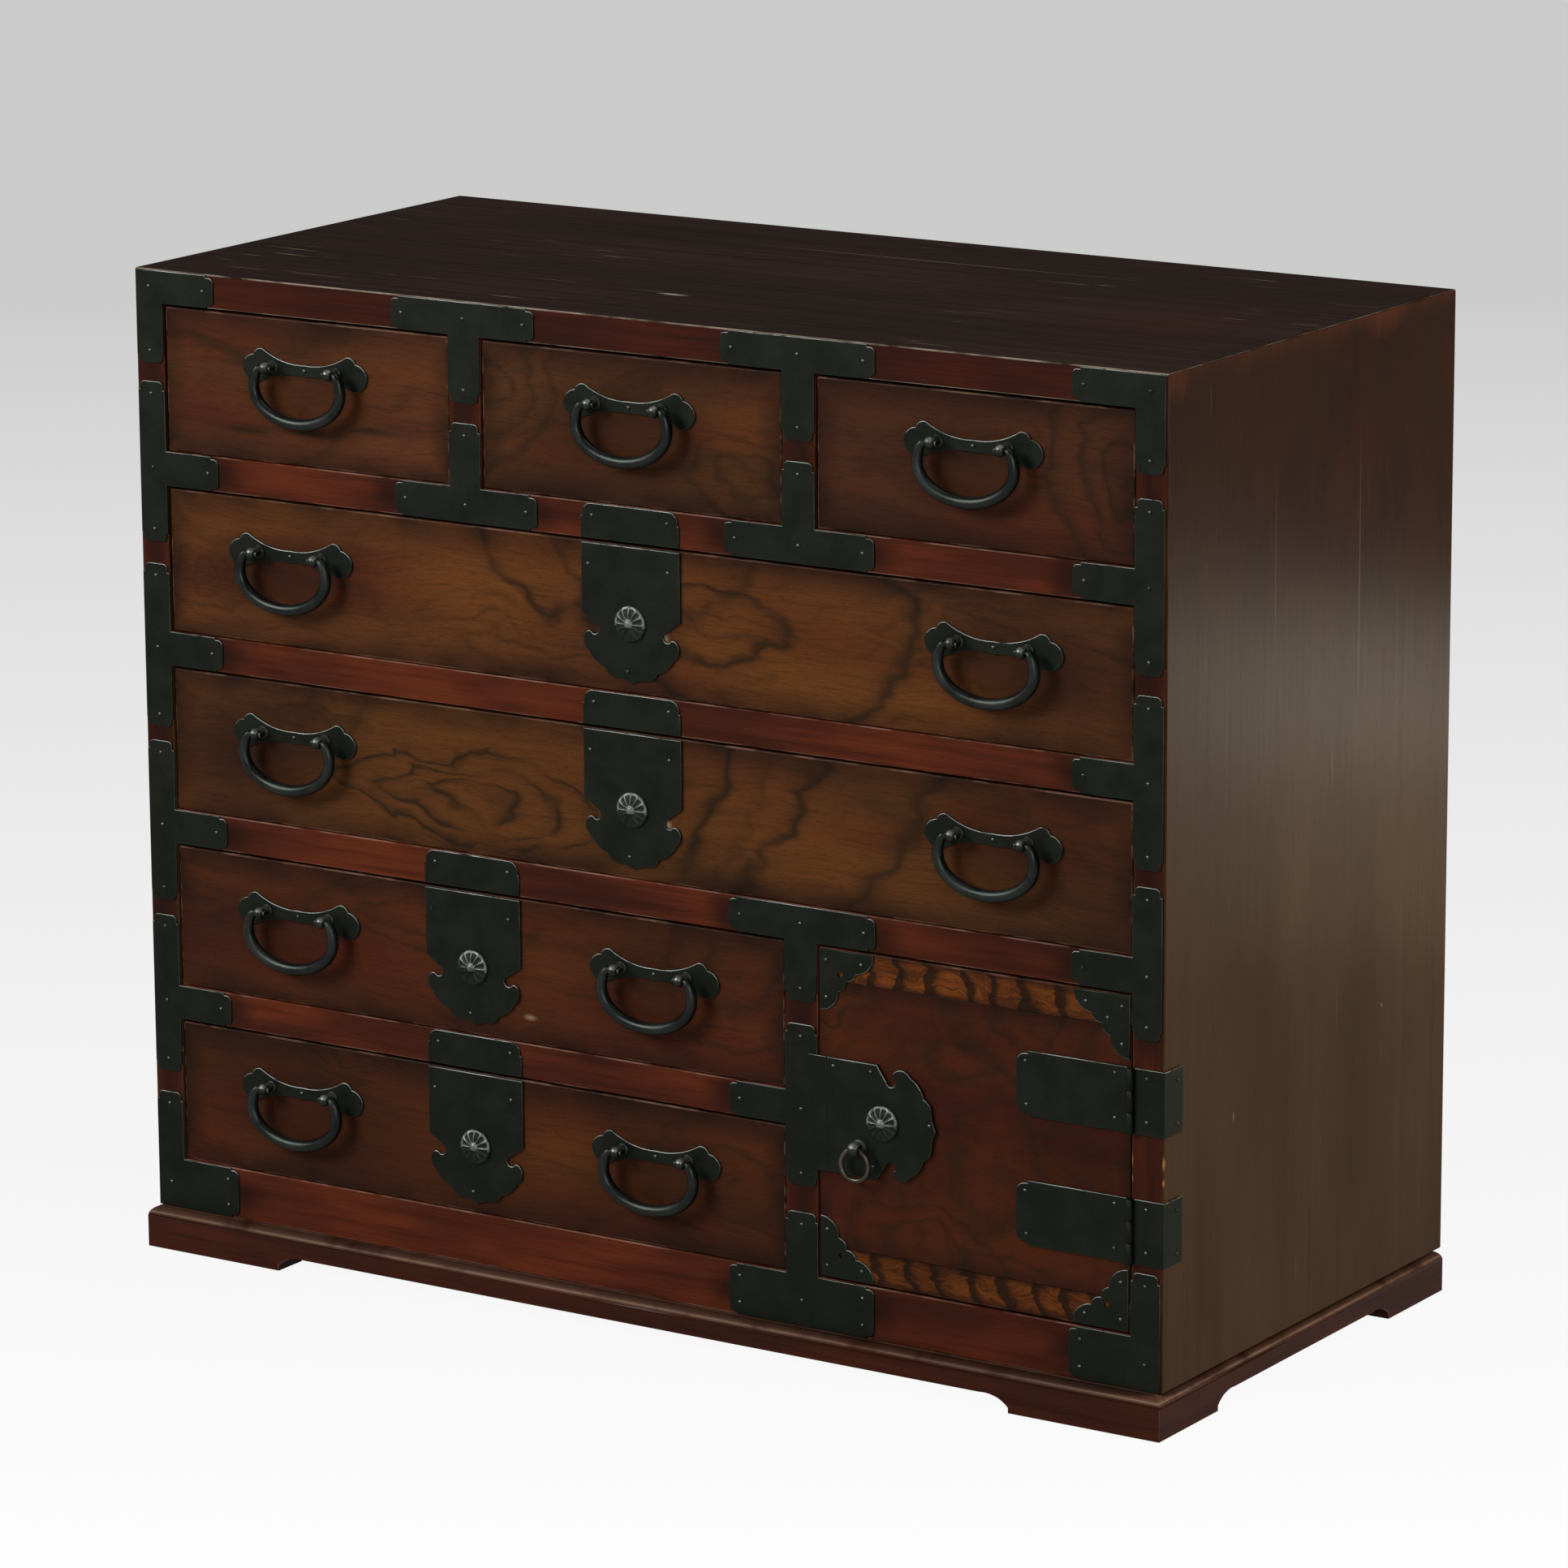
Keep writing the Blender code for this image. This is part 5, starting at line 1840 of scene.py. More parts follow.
FIGURES = {
    "top_left": Figure(
        (Spot(-60, 90, 130, 60, 0.4), Spot(110, -70, 120, 50, 0.4)), 3.0,
        (Spot(-56, -31, 38, 6.5, 0.85), Spot(0, -28, 48, 6, 0.8), Spot(56, -23.5, 40, 4, 0.8)),
        lights=(Spot(0, 12, 140, 50, 0.3),), ground="52301b", glow="693a1f",
    ),
    "top_middle": Figure(
        (Spot(-122, 24, 52, 60, 0.45, 3), Spot(98, -28, 54, 28, 0.5, 2), Spot(60, -70, 110, 50, 0.35)), 6.0,
        lights=(Spot(95, 0, 60, 55, 0.35),), ground="492a15", glow="5b361b",
    ),
    "top_right": Figure(
        (Spot(122, 8, 58, 76, 0.6, 3), Spot(-70, -70, 90, 40, 0.3)), 9.0,
        darks=(Spot(125, 0, 50, 60, 0.4),), ground="472617", glow="552f1a",
    ),
    "upper_wide": Figure(
        (
            Spot(-50, 68, 92, 76, 0.85), Spot(100, 12, 144, 74, 0.8), Spot(60, 4, 76, 30, 0.8),
            Spot(20, 60, 85, 55, 0.5), Spot(-385, -8, 40, 24, 0.35, 2), Spot(-330, 62, 100, 44, 0.25),
        ),
        12.0, smudges=(Spot(28, -11.5, 6, 6, 1.0),),
        lights=(Spot(-130, 5, 150, 60, 0.8), Spot(120, 0, 110, 60, 0.08)),
        darks=(Spot(370, -5, 140, 85, 0.85), Spot(-360, 5, 120, 70, 0.45)),
    ),
    "lower_wide": Figure(
        (
            Spot(-148, -14, 120, 32, 0.85, 3), Spot(-300, 130, 387, 408, 0.85),
            Spot(-300, 130, 430, 372, 0.35), Spot(-300, 130, 471, 332, 0.85),
            Spot(-300, 130, 577, 345, 0.7), Spot(330, 62, 90, 26, 0.3), Spot(-330, 50, 90, 30, 0.3, 2),
        ),
        15.0, smudges=(Spot(30, -11, 5, 5, 0.9),), lights=(Spot(110, 0, 130, 60, 0.35),),
        darks=(Spot(-370, 0, 150, 80, 0.9), Spot(395, 0, 120, 85, 0.6)), ground="4e2e17", glow="6a3f1c",
    ),
    "left_upper": Figure(
        (Spot(-45, 30, 105, 28, 0.4, 2), Spot(236, 18, 60, 52, 0.5, 2)), 18.0,
        smudges=(Spot(50.4, -35, 8, 3.4, 0.8),), lights=(Spot(60, 0, 110, 50, 0.1),),
        darks=(Spot(-240, 0, 90, 75, 0.6),), ground="492512", glow="603116",
    ),
    "left_lower": Figure(
        (Spot(-118, 52, 44, 12, 0.6, 2), Spot(-180, -58, 62, 22, 0.4), Spot(228, 0, 76, 54, 0.4, 2)),
        21.0, lights=(Spot(50, -5, 130, 45, 0.35),), ground="442210", glow="552b13",
    ),
    "door": Figure(
        (
            Spot(-112, 88, 30, 16, 0.7, 2), Spot(45, 95, 60, 40, 0.5, 2), Spot(-15, 58, 30, 16, 0.55),
            Spot(20, -15, 34, 50, 0.5), Spot(-40, -90, 70, 30, 0.5, 2), Spot(32, -100, 40, 16, 0.5),
        ),
        24.0, ground="482010", glow="562810",
    ),
}


@dataclass
class Drawer:
    """One drawer: figured front, tray of five boards, pulls and lock, sizes in mm."""

    name: str
    pulls: tuple[str, ...]
    locked: bool
    handle: PullHandle
    lock: LockPlate
    arris: float = 1.3
    rim: float = 20.0
    wall: float = 9.0
    floor: float = 7.0
    fingers: int = 5
    # Dark halo round each pull and the lock: handling dirt with painted shade, reaching down under the pull.
    pull_halo: Spot = Spot(0, -10, 88, 50, 0.6)
    pull_glow: Spot = Spot(0, -20, 42, 20, 0.4)
    lock_halo: Spot = Spot(0, 0, 58, 66, 0.7)

    def build(self) -> None:
        """Build and dress the drawer."""
        self.front()
        self.tray()
        for pull in self.pulls:
            self.handle.hang(f"{self.name}_{pull}", self.name + "_drawer")
        if self.locked:
            self.lock.hang(self.name, self.name + "_drawer")

    def finish(self) -> FiguredZelkova:
        """Finish of the front, with dark halos round its iron: handling dirt and painted shade.

        Returns:
            The finish.
        """
        low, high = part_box(self.name + "_drawer_front")
        middle = (low + high) / 2
        halos, glows = [], []
        for pull in self.pulls:
            axis = (joint_place(f"{self.name}_{pull}bail_swing") - middle) * 1000
            halos.append(replace(self.pull_halo, x=axis.x, z=axis.z + self.pull_halo.z))
            glows.append(replace(self.pull_glow, x=axis.x, z=axis.z + self.pull_glow.z))
        if self.locked:
            halos.append(self.lock_halo)
        return FiguredZelkova(
            "oiled_zelkova_" + self.name, middle.x, middle.z, FIGURES[self.name], tuple(halos), tuple(glows)
        )

    def front(self) -> None:
        """Front board with rounded arrises."""
        node = self.name + "_drawer_front"
        low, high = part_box(node)
        bm = box_between(low, high)
        soften(bm, corner_edges(bm), mm(self.arris))
        mark_rim(bm, mm(self.rim))
        body = self.name + "_drawer"
        settle(self.name + "_front_board", bm, [self.finish()], body, [node])

    def tray(self) -> None:
        """Tray of two sides, front, back and bottom with finger joints."""
        node = self.name + "_drawer_tray"
        low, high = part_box(node)
        wall = mm(self.wall)
        bm = new_bench()
        inner_low, inner_high = low + Vector((wall, wall, 0)), high - Vector((wall, wall, 0))
        for x in (low.x, high.x - wall):
            side = box_between((x, inner_low.y, low.z), (x + wall, inner_high.y, high.z))
            self.finger(side, 1, 0)
            stamp(bm, mesh_of(side))
        for y in (low.y, high.y - wall):
            end = box_between((inner_low.x, y, low.z), (inner_high.x, y + wall, high.z))
            self.finger(end, 0, 1)
            for face in end.faces:
                face.material_index = 1
            stamp(bm, mesh_of(end))
        slack = Vector((SKIN, SKIN))
        floor_low = (*(inner_low.xy + slack), low.z)
        bottom = box_between(floor_low, (*(inner_high.xy - slack), low.z + mm(self.floor)))
        stamp(bm, mesh_of(bottom))
        boards = [
            PlainBoard("paulownia_tray", Grain.DEEP, seed=1.0), PlainBoard("paulownia_tray_end", Grain.ACROSS)
        ]
        settle(self.name + "_finger_jointed_tray", bm, boards, self.name + "_drawer", [node])

    def finger(self, bm: BMesh, axis: int, first: int) -> None:
        """Grow finger joints out of both ends of a tray board.

        Args:
            bm: mesh of the board, short by a wall at each end.
            axis: 0 or 1 for a board along X or Y.
            first: 0 if the lowest strip grows a finger, 1 if the next one does.
        """
        bottom = min(v.co.z for v in bm.verts)
        pitch = (max(v.co.z for v in bm.verts) - bottom) / self.fingers
        for i in range(1, self.fingers):
            whole = [*bm.verts, *bm.edges, *bm.faces]
            level = (0, 0, bottom + i * pitch)
            bmesh.ops.bisect_plane(bm, geom=whole, dist=MERGE, plane_co=level, plane_no=(0, 0, 1))
        bm.normal_update()
        ends = [f for f in bm.faces if abs(f.normal[axis]) > 0.9]
        for face in ends:
            strip = int((face.calc_center_median().z - bottom) / pitch)
            if strip % 2 == first:
                extrude_faces(bm, [face], face.normal * (mm(self.wall) - SKIN))
                if face.is_valid:
                    bmesh.ops.delete(bm, geom=[face], context="FACES_ONLY")
        bmesh.ops.recalc_face_normals(bm, faces=bm.faces[:])


def mark_rim(bm: BMesh, width: float) -> None:
    """Mark how near a front board's face is to its rim.

    Args:
        bm: mesh of the board.
        width: width of the marked rim in metres.
    """
    bm.normal_update()
    face = min(bm.faces, key=lambda f: f.calc_center_median().y - f.calc_area())
    rim = bm.verts.layers.float[RIM]
    for vert in bm.verts:
        vert[rim] = 1.0
    bmesh.ops.inset_region(bm, faces=[face], thickness=width, use_even_offset=True)
    for vert in face.verts:
        vert[rim] = 0.0


# Door


@dataclass
class Door:
    """Door of a core between two striped battens, with corner plates and lock plate, sizes in mm."""

    nails: Nails
    lock: LockPlate
    batten: float = 24.0
    seam: float = 0.25
    arris: float = 1.2
    rim: float = 12.0
    corner: float = 46.0
    corner_plate: float = 1.2
    hole: float = 2.2
    lock_plate: float = 2.4
    lip: float = 1.2
    lip_reach: float = 15.9
    lip_lap: float = 8.5
    lip_play: float = 0.2
    lip_round: float = 0.3
    staple_head: float = 5.5
    staple_neck: float = 3.5
    staple_collar: float = 6.6
    staple_bore: float = 3.4
    batten_rim: float = 6.0
    corner_inset: float = 0.8
    hole_share: float = 0.39
    corner_nails: Pairs = ((0.13, 0.78), (0.13, 0.18), (0.78, 0.18))
    lock_nails: Pairs = ((22, 37), (54, 37), (104, 4), (56, -34))

    def build(self) -> None:
        """Build and dress the door."""
        self.boards()
        self.corners()
        self.lock_and_staple()
        self.ring()

    def boards(self) -> None:
        """Core and battens."""
        low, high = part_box("door_panel")
        middle = (low + high) / 2
        tall = mm(self.batten)
        seam = mm(self.seam)
        # The core's halos round the lock and hinges are handling dirt with painted shade.
        core = FiguredZelkova(
            "oiled_zelkova_door", middle.x, middle.z, FIGURES["door"],
            (Spot(-70, -2, 90, 80, 0.5), Spot(90, 0, 90, 110, 0.5)),
            red="461a0e", flow_cell=(120, 120, 90), fibre_cell=(16, 16, 11),
        )
        parts = [
            ("door_core_board", low.z + tall, high.z - tall, core, ["door_panel"]),
            ("door_lower_batten", low.z, low.z + tall - seam, TigerBatten(), []),
            ("door_upper_batten", high.z - tall + seam, high.z, TigerBatten(), []),
        ]
        for name, under, over, finish, stands_for in parts:
            bm = box_between((low.x, low.y, under), (high.x, high.y, over))
            outer = [e for e in bm.edges if not self.at_seam(e, low.z, high.z)]
            inner = [e for e in bm.edges if self.at_seam(e, low.z, high.z)]
            soften(bm, outer, mm(self.arris))
            inner = [e for e in inner if e.is_valid]
            soften(bm, inner, seam, segments=1, worn=0.0)
            mark_rim(bm, mm(self.rim if name == "door_core_board" else self.batten_rim))
            settle(name, bm, [finish], "door", stands_for)

    def at_seam(self, edge: BMEdge, low: float, high: float) -> bool:
        """Whether an edge lies at the seam of two boards, away from the door's own ends."""
        return all(low + MERGE < v.co.z < high - MERGE for v in edge.verts)

    def corner_stencil(self, holed: bool) -> Mesh:
        """Scalloped corner plate in the lower left corner of the XZ plane.

        Args:
            holed: whether its hole is empty.
        Returns:
            Mesh of the plate.
        """
        side = self.corner
        legs = [
            Leg(0, side), Leg(side * 0.35, side * 0.67, 0.42), Leg(side * 0.49, side * 0.49, 0.4),
            Leg(side * 0.67, side * 0.35, 0.4), Leg(side, 0, 0.42), Leg(0, 0),
        ]
        bm = new_bench()
        trace(bm, (0, 0), legs)
        raise_plate(bm, mm(self.corner_plate))
        plate = mesh_of(bm)
        if holed:
            drill = [(0, -5), (self.hole, -5), (self.hole, 5), (0, 5)]
            off = mm(side * self.hole_share)
            place = Matrix.Translation((off, 0, off)) @ TO_FRONT
            plate = carve(plate, mesh_of(move(turned(drill, 20), place)))
        return plate

    def corners(self) -> None:
        """Four scalloped corner plates with their nails."""
        low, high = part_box("door_panel")
        face = low.y - SKIN
        outer = face - mm(self.corner_plate)
        inset, size = mm(self.corner_inset), mm(self.corner)
        hole = (self.hole_share, self.hole_share)
        plates = [
            ("door_lower_left_corner_plate", low.x + inset, low.z + inset, 1, 1, True),
            ("door_upper_left_corner_plate", low.x + inset, high.z - inset, 1, -1, True),
            ("door_lower_right_corner_plate", high.x - inset, low.z + inset, -1, 1, True),
            ("door_upper_right_corner_plate", high.x - inset, high.z - inset, -1, -1, False),
        ]
        for name, x, z, flip_x, flip_z, holed in plates:
            bm = new_bench()
            turn = Matrix.Translation((x, face, z)) @ Matrix.Diagonal((flip_x, 1, flip_z, 1))
            stamp(bm, self.corner_stencil(holed), turn)
            bmesh.ops.recalc_face_normals(bm, faces=bm.faces[:])
            marks = self.corner_nails if holed else (*self.corner_nails, hole)
            places = [Vector((x + flip_x * u * size, outer, z + flip_z * v * size)) for u, v in marks]
            self.nails.drive(bm, places)
            settle(name, bm, [IRON], "door")

    def lock_and_staple(self) -> None:
        """Lock plate on its side with a lip over the post, its rosette, nails and the ring's staple."""
        low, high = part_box("door_lock_plate")
        door_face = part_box("door_panel")[0].y
        back = door_face - SEAT
        face = back - mm(self.lock_plate)
        middle = (low.z + high.z) / 2
        seam = low.x + mm(self.lip_reach)
        straight = (high.x - seam) * 1000 - self.lock.lobe - self.seam
        bm = self.lock.outline(straight)
        raise_plate(bm, mm(self.lock_plate), mm(self.lock.edge))
        turn = Matrix.Rotation(math.radians(-90), 4, "Y")
        move(bm, Matrix.Translation((seam + mm(self.seam), back, middle)) @ turn)
        # Painted highlight again on the rounded edges that look up after the turn.
        worn = bm.faces.layers.float[WEAR_AND_HIGHLIGHT]
        rub_and_highlight_upper(bm, [edge for edge in bm.faces if edge[worn]])
        stamp(bm, self.lip_stencil(high.z - low.z), Matrix.Translation((low.x, door_face, low.z)))
        boss_x = high.x - mm(self.lock.rosette_up)
        stamp(bm, self.lock.rosette.stencil, Matrix.Translation((boss_x, face, middle)) @ TO_FRONT)
        anchor = joint_place("ring_swing")
        foot = Matrix.Translation((anchor.x, face, anchor.z))
        stamp(bm, self.staple_stencil(face - anchor.y), foot @ TO_FRONT)
        self.nails.drive(bm, [Vector((low.x + mm(x), face, middle + mm(z))) for x, z in self.lock_nails])
        settle("door_lobed_lock_plate", bm, [IRON], "door", ["door_lock_plate"])

    def lip_stencil(self, height: float) -> Mesh:
        """Strip of the lock plate next to its seam, thin where it laps the post.

        Args:
            height: height of the strip in metres.
        Returns:
            Mesh with its lower outer edge at the origin, on the door's face.
        """
        seat, lap = -SEAT * 1000, self.lip_lap + self.lip_play
        front = seat - self.lock_plate
        legs = [
            Leg(0, front + self.lip), Leg(lap, front + self.lip), Leg(lap, seat),
            Leg(self.lip_reach, seat), Leg(self.lip_reach, front), Leg(0, front),
        ]
        bm = new_bench()
        trace(bm, (0, front), legs)
        thicken(bm, Vector((0, -height, 0)))
        move(bm, TO_BACK)
        rub_and_highlight_upper(bm, soften(bm, corner_edges(bm), mm(self.lip_round), segments=2))
        return mesh_of(bm)

    def staple_stencil(self, out: float) -> Mesh:
        """Post with a bored ball head for the ring.

        Args:
            out: distance of the ring's axis from the plate in metres.
        Returns:
            Mesh that stands on the XY plane.
        """
        collar = self.staple_collar
        foot = [(0, -0.4), (collar, -0.4), (collar, 0.5), (collar - 1.2, 1.1), (self.staple_neck, 1.6)]
        return ball_post(foot, self.staple_head, out * 1000, self.staple_bore, 28, 20)

    def ring(self) -> None:
        """Ring pull that hangs in the staple."""
        low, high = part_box("door_ring")
        rod = (high.y - low.y) / 2
        curve = (high.x - low.x) / 2 - rod
        anchor = joint_place("ring_swing")
        bm = new_bench()
        section = Matrix.Translation((curve, 0, 0)) @ TO_FRONT
        edge = bmesh.ops.create_circle(bm, segments=16, radius=rod, matrix=section)["verts"]
        spin_round(bm, [*edge, *{e for v in edge for e in v.link_edges}], 48)
        move(bm, Matrix.Translation(anchor - Vector((0, 0, curve))) @ TO_FRONT)
        settle("door_ring_pull", bm, [RING_IRON], "ring", ["door_ring"])


@dataclass
class Hinges:
    """Two hinges of a door leaf and a case leaf round the corner, sizes in mm."""

    nails: Nails
    thickness: float = 1.6
    knuckle: float = 2.8
    pin: float = 1.3
    gap: float = 0.3
    corner: float = 8.0
    shoulder: float = 2.0
    knuckle_edge: float = 0.3
    leaf_round: float = 0.4
    tab_front: float = 1.3
    tab_back: float = 0.3
    tab_inset: float = 0.4
    tab_lap: float = 1.0
    play_below: float = 0.05
    play_above: float = 0.15
    pin_length: float = 48.0
    pin_up: float = 0.2
    door_nails: Pairs = ((337, 16.4), (338, -15.6), (411, 18.4), (411, -14.6))
    case_nails: Pairs = ((437, 17.4), (437, -14.6))
    side_nails: Pairs = ((15.8, 15.4), (15.8, -16.6))

    def build(self) -> None:
        """Build and dress both hinges."""
        axis = joint_place("door_swing")
        for name in ("upper", "lower"):
            self.door_leaf(name, axis, *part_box(name + "_hinge_door_leaf"))
            self.case_leaf(name, axis, *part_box(name + "_hinge_case_leaf"))

    def barrel(self, bm: BMesh, axis: Vector, low: float, high: float, bore: float = 0.0) -> None:
        """Add one knuckle round the pin.

        Args:
            bm: mesh to add it to.
            axis: point on the pin.
            low: lower end in metres.
            high: upper end in metres.
            bore: radius of its hole in mm, or nothing for a knuckle that holds the pin.
        """
        half = (high - low) * 500
        wide, flat, end = self.knuckle, self.knuckle - self.knuckle_edge, half - self.knuckle_edge
        profile = [(bore, -half), (flat, -half), (wide, -end), (wide, end), (flat, half), (bore, half)]
        if bore:
            profile.append(profile[0])
        stamp(bm, mesh_of(turned(profile, 24)), Matrix.Translation((axis.x, axis.y, (low + high) / 2)))

    def tab(self, bm: BMesh, left: float, right: float, back: float, low: float, high: float) -> None:
        """Join a knuckle to its leaf, sizes in metres.

        Args:
            bm: mesh to add the tab to.
            left: left end of the tab.
            right: right end of the tab.
            back: back of the leaf.
            low: lower end of the knuckle.
            high: upper end of the knuckle.
        """
        under = Vector((left, back - mm(self.tab_front), low + mm(self.tab_inset)))
        over = Vector((right, back - mm(self.tab_back), high - mm(self.tab_inset)))
        stamp(bm, mesh_of(box_between(under, over)))

    def door_leaf(self, name: str, axis: Vector, low: Vector, high: Vector) -> None:
        """Leaf on the door with the middle knuckle.

        Args:
            name: upper or lower.
            axis: point on the pin.
            low: lowest corner of the solid.
            high: highest corner of the solid.
        """
        near = (axis.x - mm(self.knuckle + self.gap)) * 1000
        far, z0, z1 = low.x * 1000, low.z * 1000, high.z * 1000
        corners = [(far, z0), (far, z1), (near, z1), (near, z0)]
        step = self.shoulder
        bm = shouldered_plate(corners, {0}, step, self.corner + step, self.corner, self.thickness)
        back = axis.y + mm(self.knuckle)
        move(bm, Matrix.Translation((0, back, 0)))
        third = (high.z - low.z) / 3
        bore = self.pin + self.gap
        self.barrel(bm, axis, low.z + third + mm(self.gap) / 2, high.z - third - mm(self.gap) / 2, bore)
        self.tab(bm, mm(near - self.tab_lap), axis.x - mm(bore), back, low.z + third, high.z - third)
        middle = (low.z + high.z) / 2
        face = back - mm(self.thickness)
        self.nails.drive(bm, [Vector((mm(x), face, middle + mm(z))) for x, z in self.door_nails])
        settle(name + "_hinge_on_door", bm, [IRON], "door", [name + "_hinge_door_leaf"])

    def case_leaf(self, name: str, axis: Vector, low: Vector, high: Vector) -> None:
        """Leaf round the case's corner with the outer knuckles.

        Args:
            name: upper or lower.
            axis: point on the pin.
            low: lowest corner of the solid.
            high: highest corner of the solid.
        """
        near = axis.x + mm(self.knuckle + self.gap)
        back = axis.y + mm(self.knuckle)
        front, outer = back - mm(self.thickness), high.x
        inner, end = outer - mm(self.thickness), high.y
        points = [(near, back), (inner, back), (inner, end), (outer, end), (outer, front), (near, front)]
        bm = new_bench()
        trace(bm, (near * 1000, front * 1000), [Leg(u * 1000, v * 1000) for u, v in points])
        thicken(bm, Vector((0, low.z - high.z, 0)))
        move(bm, Matrix.Translation((0, 0, low.z)) @ TO_BACK)
        rub_and_highlight_upper(bm, soften(bm, corner_edges(bm), mm(self.leaf_round), segments=2))
        third = (high.z - low.z) / 3
        for start, stop in ((low.z, low.z + third), (high.z - third, high.z)):
            self.barrel(bm, axis, start + mm(self.play_below), stop - mm(self.play_above))
            self.tab(bm, axis.x, near + mm(self.tab_lap), back, start, stop)
        pin = turned([(0, 0), (self.pin, 0), (self.pin, self.pin_length), (0, self.pin_length)], 16)
        stamp(bm, mesh_of(pin), Matrix.Translation((axis.x, axis.y, low.z + mm(self.pin_up))))
        middle = (low.z + high.z) / 2
        self.nails.drive(bm, [Vector((mm(x), front, middle + mm(z))) for x, z in self.case_nails])
        sides = [Vector((outer, back + mm(y), middle + mm(z))) for y, z in self.side_nails]
        self.nails.drive(bm, sides, TO_RIGHT)
        settle(name + "_hinge_on_case", bm, [IRON], "case", [name + "_hinge_case_leaf"])


# Studio


@dataclass(frozen=True)
class Lamp:
    """One soft box: place, point it faces, width, height and power in watts."""

    name: str
    place: tuple[float, float, float]
    facing: tuple[float, float, float]
    width: float
    height: float
    watts: float
    tint: str = "ffffff"


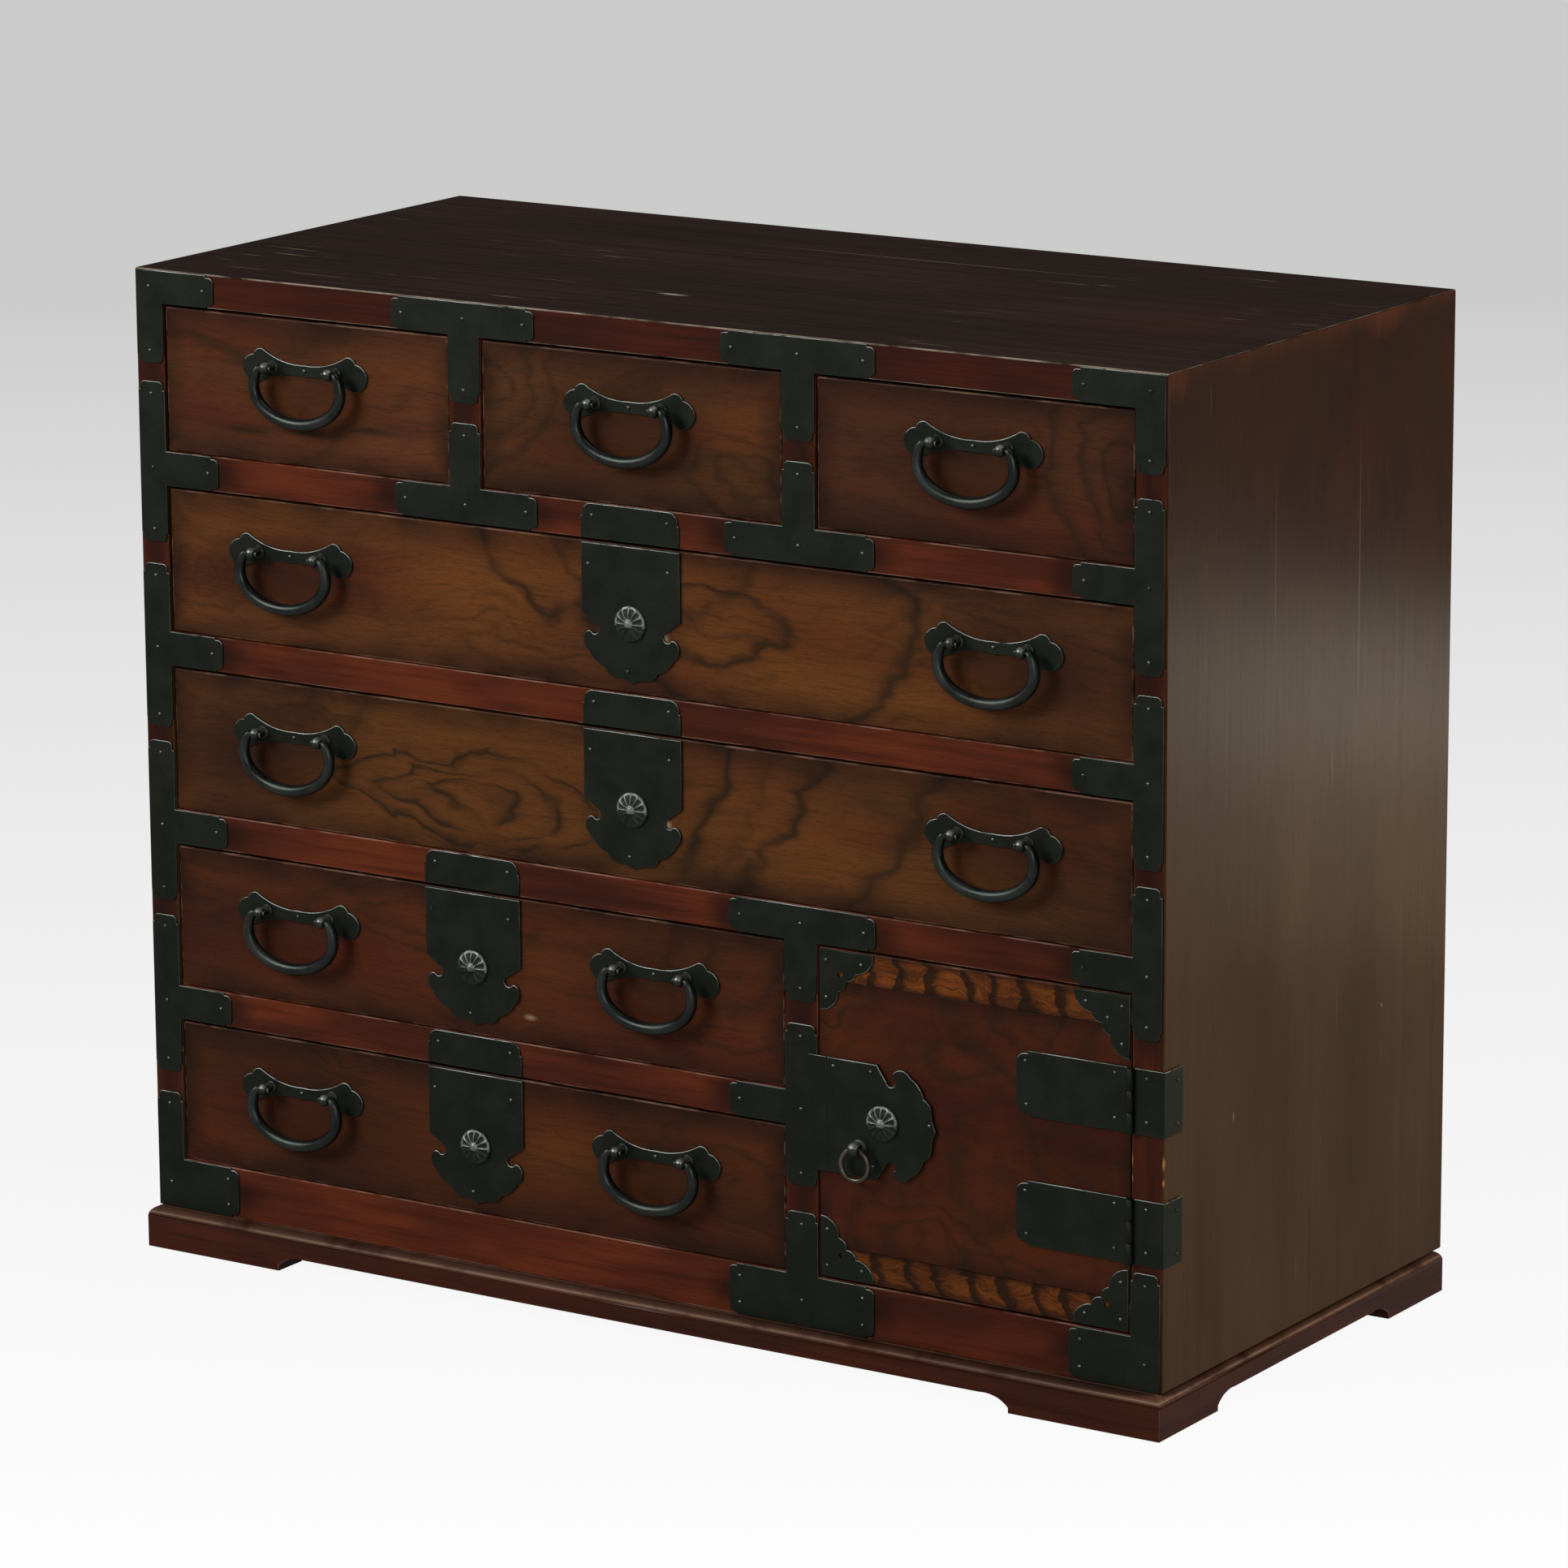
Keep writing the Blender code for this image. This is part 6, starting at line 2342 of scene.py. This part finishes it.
@dataclass
class Studio:
    """Camera at the photograph's place, soft boxes and a pale floor."""

    camera_place: tuple[float, float, float] = (2.86646, -4.39988, 1.62116)
    azimuth: float = 33.089
    elevation: float = 13.2745
    roll: float = -0.338
    lens: float = 163.6664
    sensor: float = 36.0
    floor_size: float = 40.0
    ambient: float = 0.12
    backdrop: str = "cecece"
    mirror_share: float = 0.06
    lamps: tuple[Lamp, ...] = (
        Lamp("key_box", (-2.4, -3.2, 2.7), (0.0, -0.2, 0.4), 1.8, 1.8, 115.0),
        Lamp("fill_box", (2.2, -3.6, 1.6), (0.1, -0.2, 0.4), 2.0, 1.6, 38.0),
        Lamp("top_box", (0.2, 0.4, 3.2), (0.0, 0.0, 0.7), 2.2, 1.6, 24.0),
        Lamp("side_box", (2.6, 1.0, 1.3), (0.45, 0.0, 0.45), 1.4, 1.4, 34.0, "fff0dc"),
        Lamp("sheen_panel", (0.93, 0.87, 0.29), (0.45, 0.0, 0.5), 0.36, 0.13, 0.5, "f3ead6"),
        Lamp("sheen_tail_panel", (0.93, 0.87, 0.15), (0.45, 0.0, 0.4), 0.36, 0.16, 0.25, "ecd9b4"),
    )

    def build(self) -> None:
        """Set up camera, lamps, world and floor."""
        self.camera()
        for lamp in self.lamps:
            self.light(lamp)
        self.world()
        self.floor()
        bpy.context.scene.view_settings.view_transform = "Standard"

    def camera(self) -> None:
        """Camera at the photograph's viewing angle."""
        data = bpy.data.cameras.new("view_camera")
        data.lens = self.lens
        data.sensor_width = self.sensor
        data.clip_end = 100.0
        camera = add_object("view_camera", data)
        heading, tilt = math.radians(self.azimuth), math.radians(90 - self.elevation)
        turn = Matrix.Rotation(heading, 4, "Z") @ Matrix.Rotation(tilt, 4, "X")
        turn = turn @ Matrix.Rotation(math.radians(self.roll), 4, "Z")
        camera.matrix_world = Matrix.Translation(self.camera_place) @ turn
        bpy.context.scene.camera = camera

    def light(self, lamp: Lamp) -> None:
        """Soft box that the camera doesn't see.

        Args:
            lamp: its place, size and power.
        """
        data = bpy.data.lights.new(lamp.name, "AREA")
        data.shape = "RECTANGLE"
        data.size = lamp.width
        data.size_y = lamp.height
        data.energy = lamp.watts
        data.color = linear(lamp.tint)[:3]
        box = add_object(lamp.name, data)
        box.location = lamp.place
        aim = Vector(lamp.facing) - Vector(lamp.place)
        box.rotation_euler = aim.to_track_quat("-Z", "Y").to_euler()
        box.visible_camera = False

    def world(self) -> None:
        """Even dim light from all round, grey to the eye."""
        world = bpy.data.worlds.new("studio_air")
        world.use_nodes = True
        bpy.context.scene.world = world
        nodes = Nodes(world.node_tree)
        air = nodes.tree.nodes["Background"].inputs
        air["Color"].default_value = linear("ffffff")
        path = nodes.add("LightPath").outputs
        seen = linear(self.backdrop)[0]
        mirrored = seen * self.mirror_share
        levels = {"Is Glossy Ray": mirrored, "Is Transmission Ray": mirrored, "Is Camera Ray": seen}
        strength = None
        for ray, level in levels.items():
            links = {"Factor": path[ray]}
            if strength is not None:
                links["A"] = strength
            strength = nodes.add("Mix", {"A": self.ambient, "B": level}, links).outputs["Result"]
        nodes.tree.links.new(strength, air["Strength"])

    def floor(self) -> None:
        """Wide pale floor."""
        bm = bmesh.new()
        bmesh.ops.create_grid(bm, x_segments=1, y_segments=1, size=self.floor_size / 2)
        bmesh.ops.translate(bm, verts=bm.verts[:], vec=(0, 0, -SEAT / 2))
        mesh = mesh_of(bm, "studio_floor")
        mesh.materials.append(material_of(PaleSweep(heading=-math.radians(self.azimuth))))
        add_object("studio_floor", mesh)


def main() -> None:
    """Build the chest's looks and the studio in order."""
    logging.basicConfig(level=logging.INFO, format="%(name)s: %(message)s")
    Studio().build()
    nails = Nails()
    handle = PullHandle(nails)
    lock = LockPlate(nails, Rosette())
    straps = StrapWork(nails)
    level, upright = straps.halos()
    # Painted shade: the rails and posts darker at the right end, where the light falls off.
    shaded_end = Spot(330, 200, 210, 280, 0.55)
    rails = WipedLacquer("wiped_red_lacquer_across", Grain.ACROSS, darks=(*level, shaded_end))
    posts = WipedLacquer(
        "wiped_red_lacquer_upright", Grain.UPRIGHT, seed=4.0, rubbed_and_lit="7a4a34", wear=0.4,
        darks=(*upright, shaded_end),
    )
    CaseBoards(posts).build()
    FrameRails(rails, posts).build()
    Plinth().build()
    straps.build()
    StrikePlates(nails).build()
    for name in ("top_left", "top_middle", "top_right"):
        Drawer(name, ("",), False, handle, lock).build()
    for name in ("upper_wide", "lower_wide", "left_upper", "left_lower"):
        Drawer(name, ("left_", "right_"), True, handle, lock).build()
    Door(nails, lock).build()
    Hinges(nails).build()


if __name__ == "__main__":
    main()
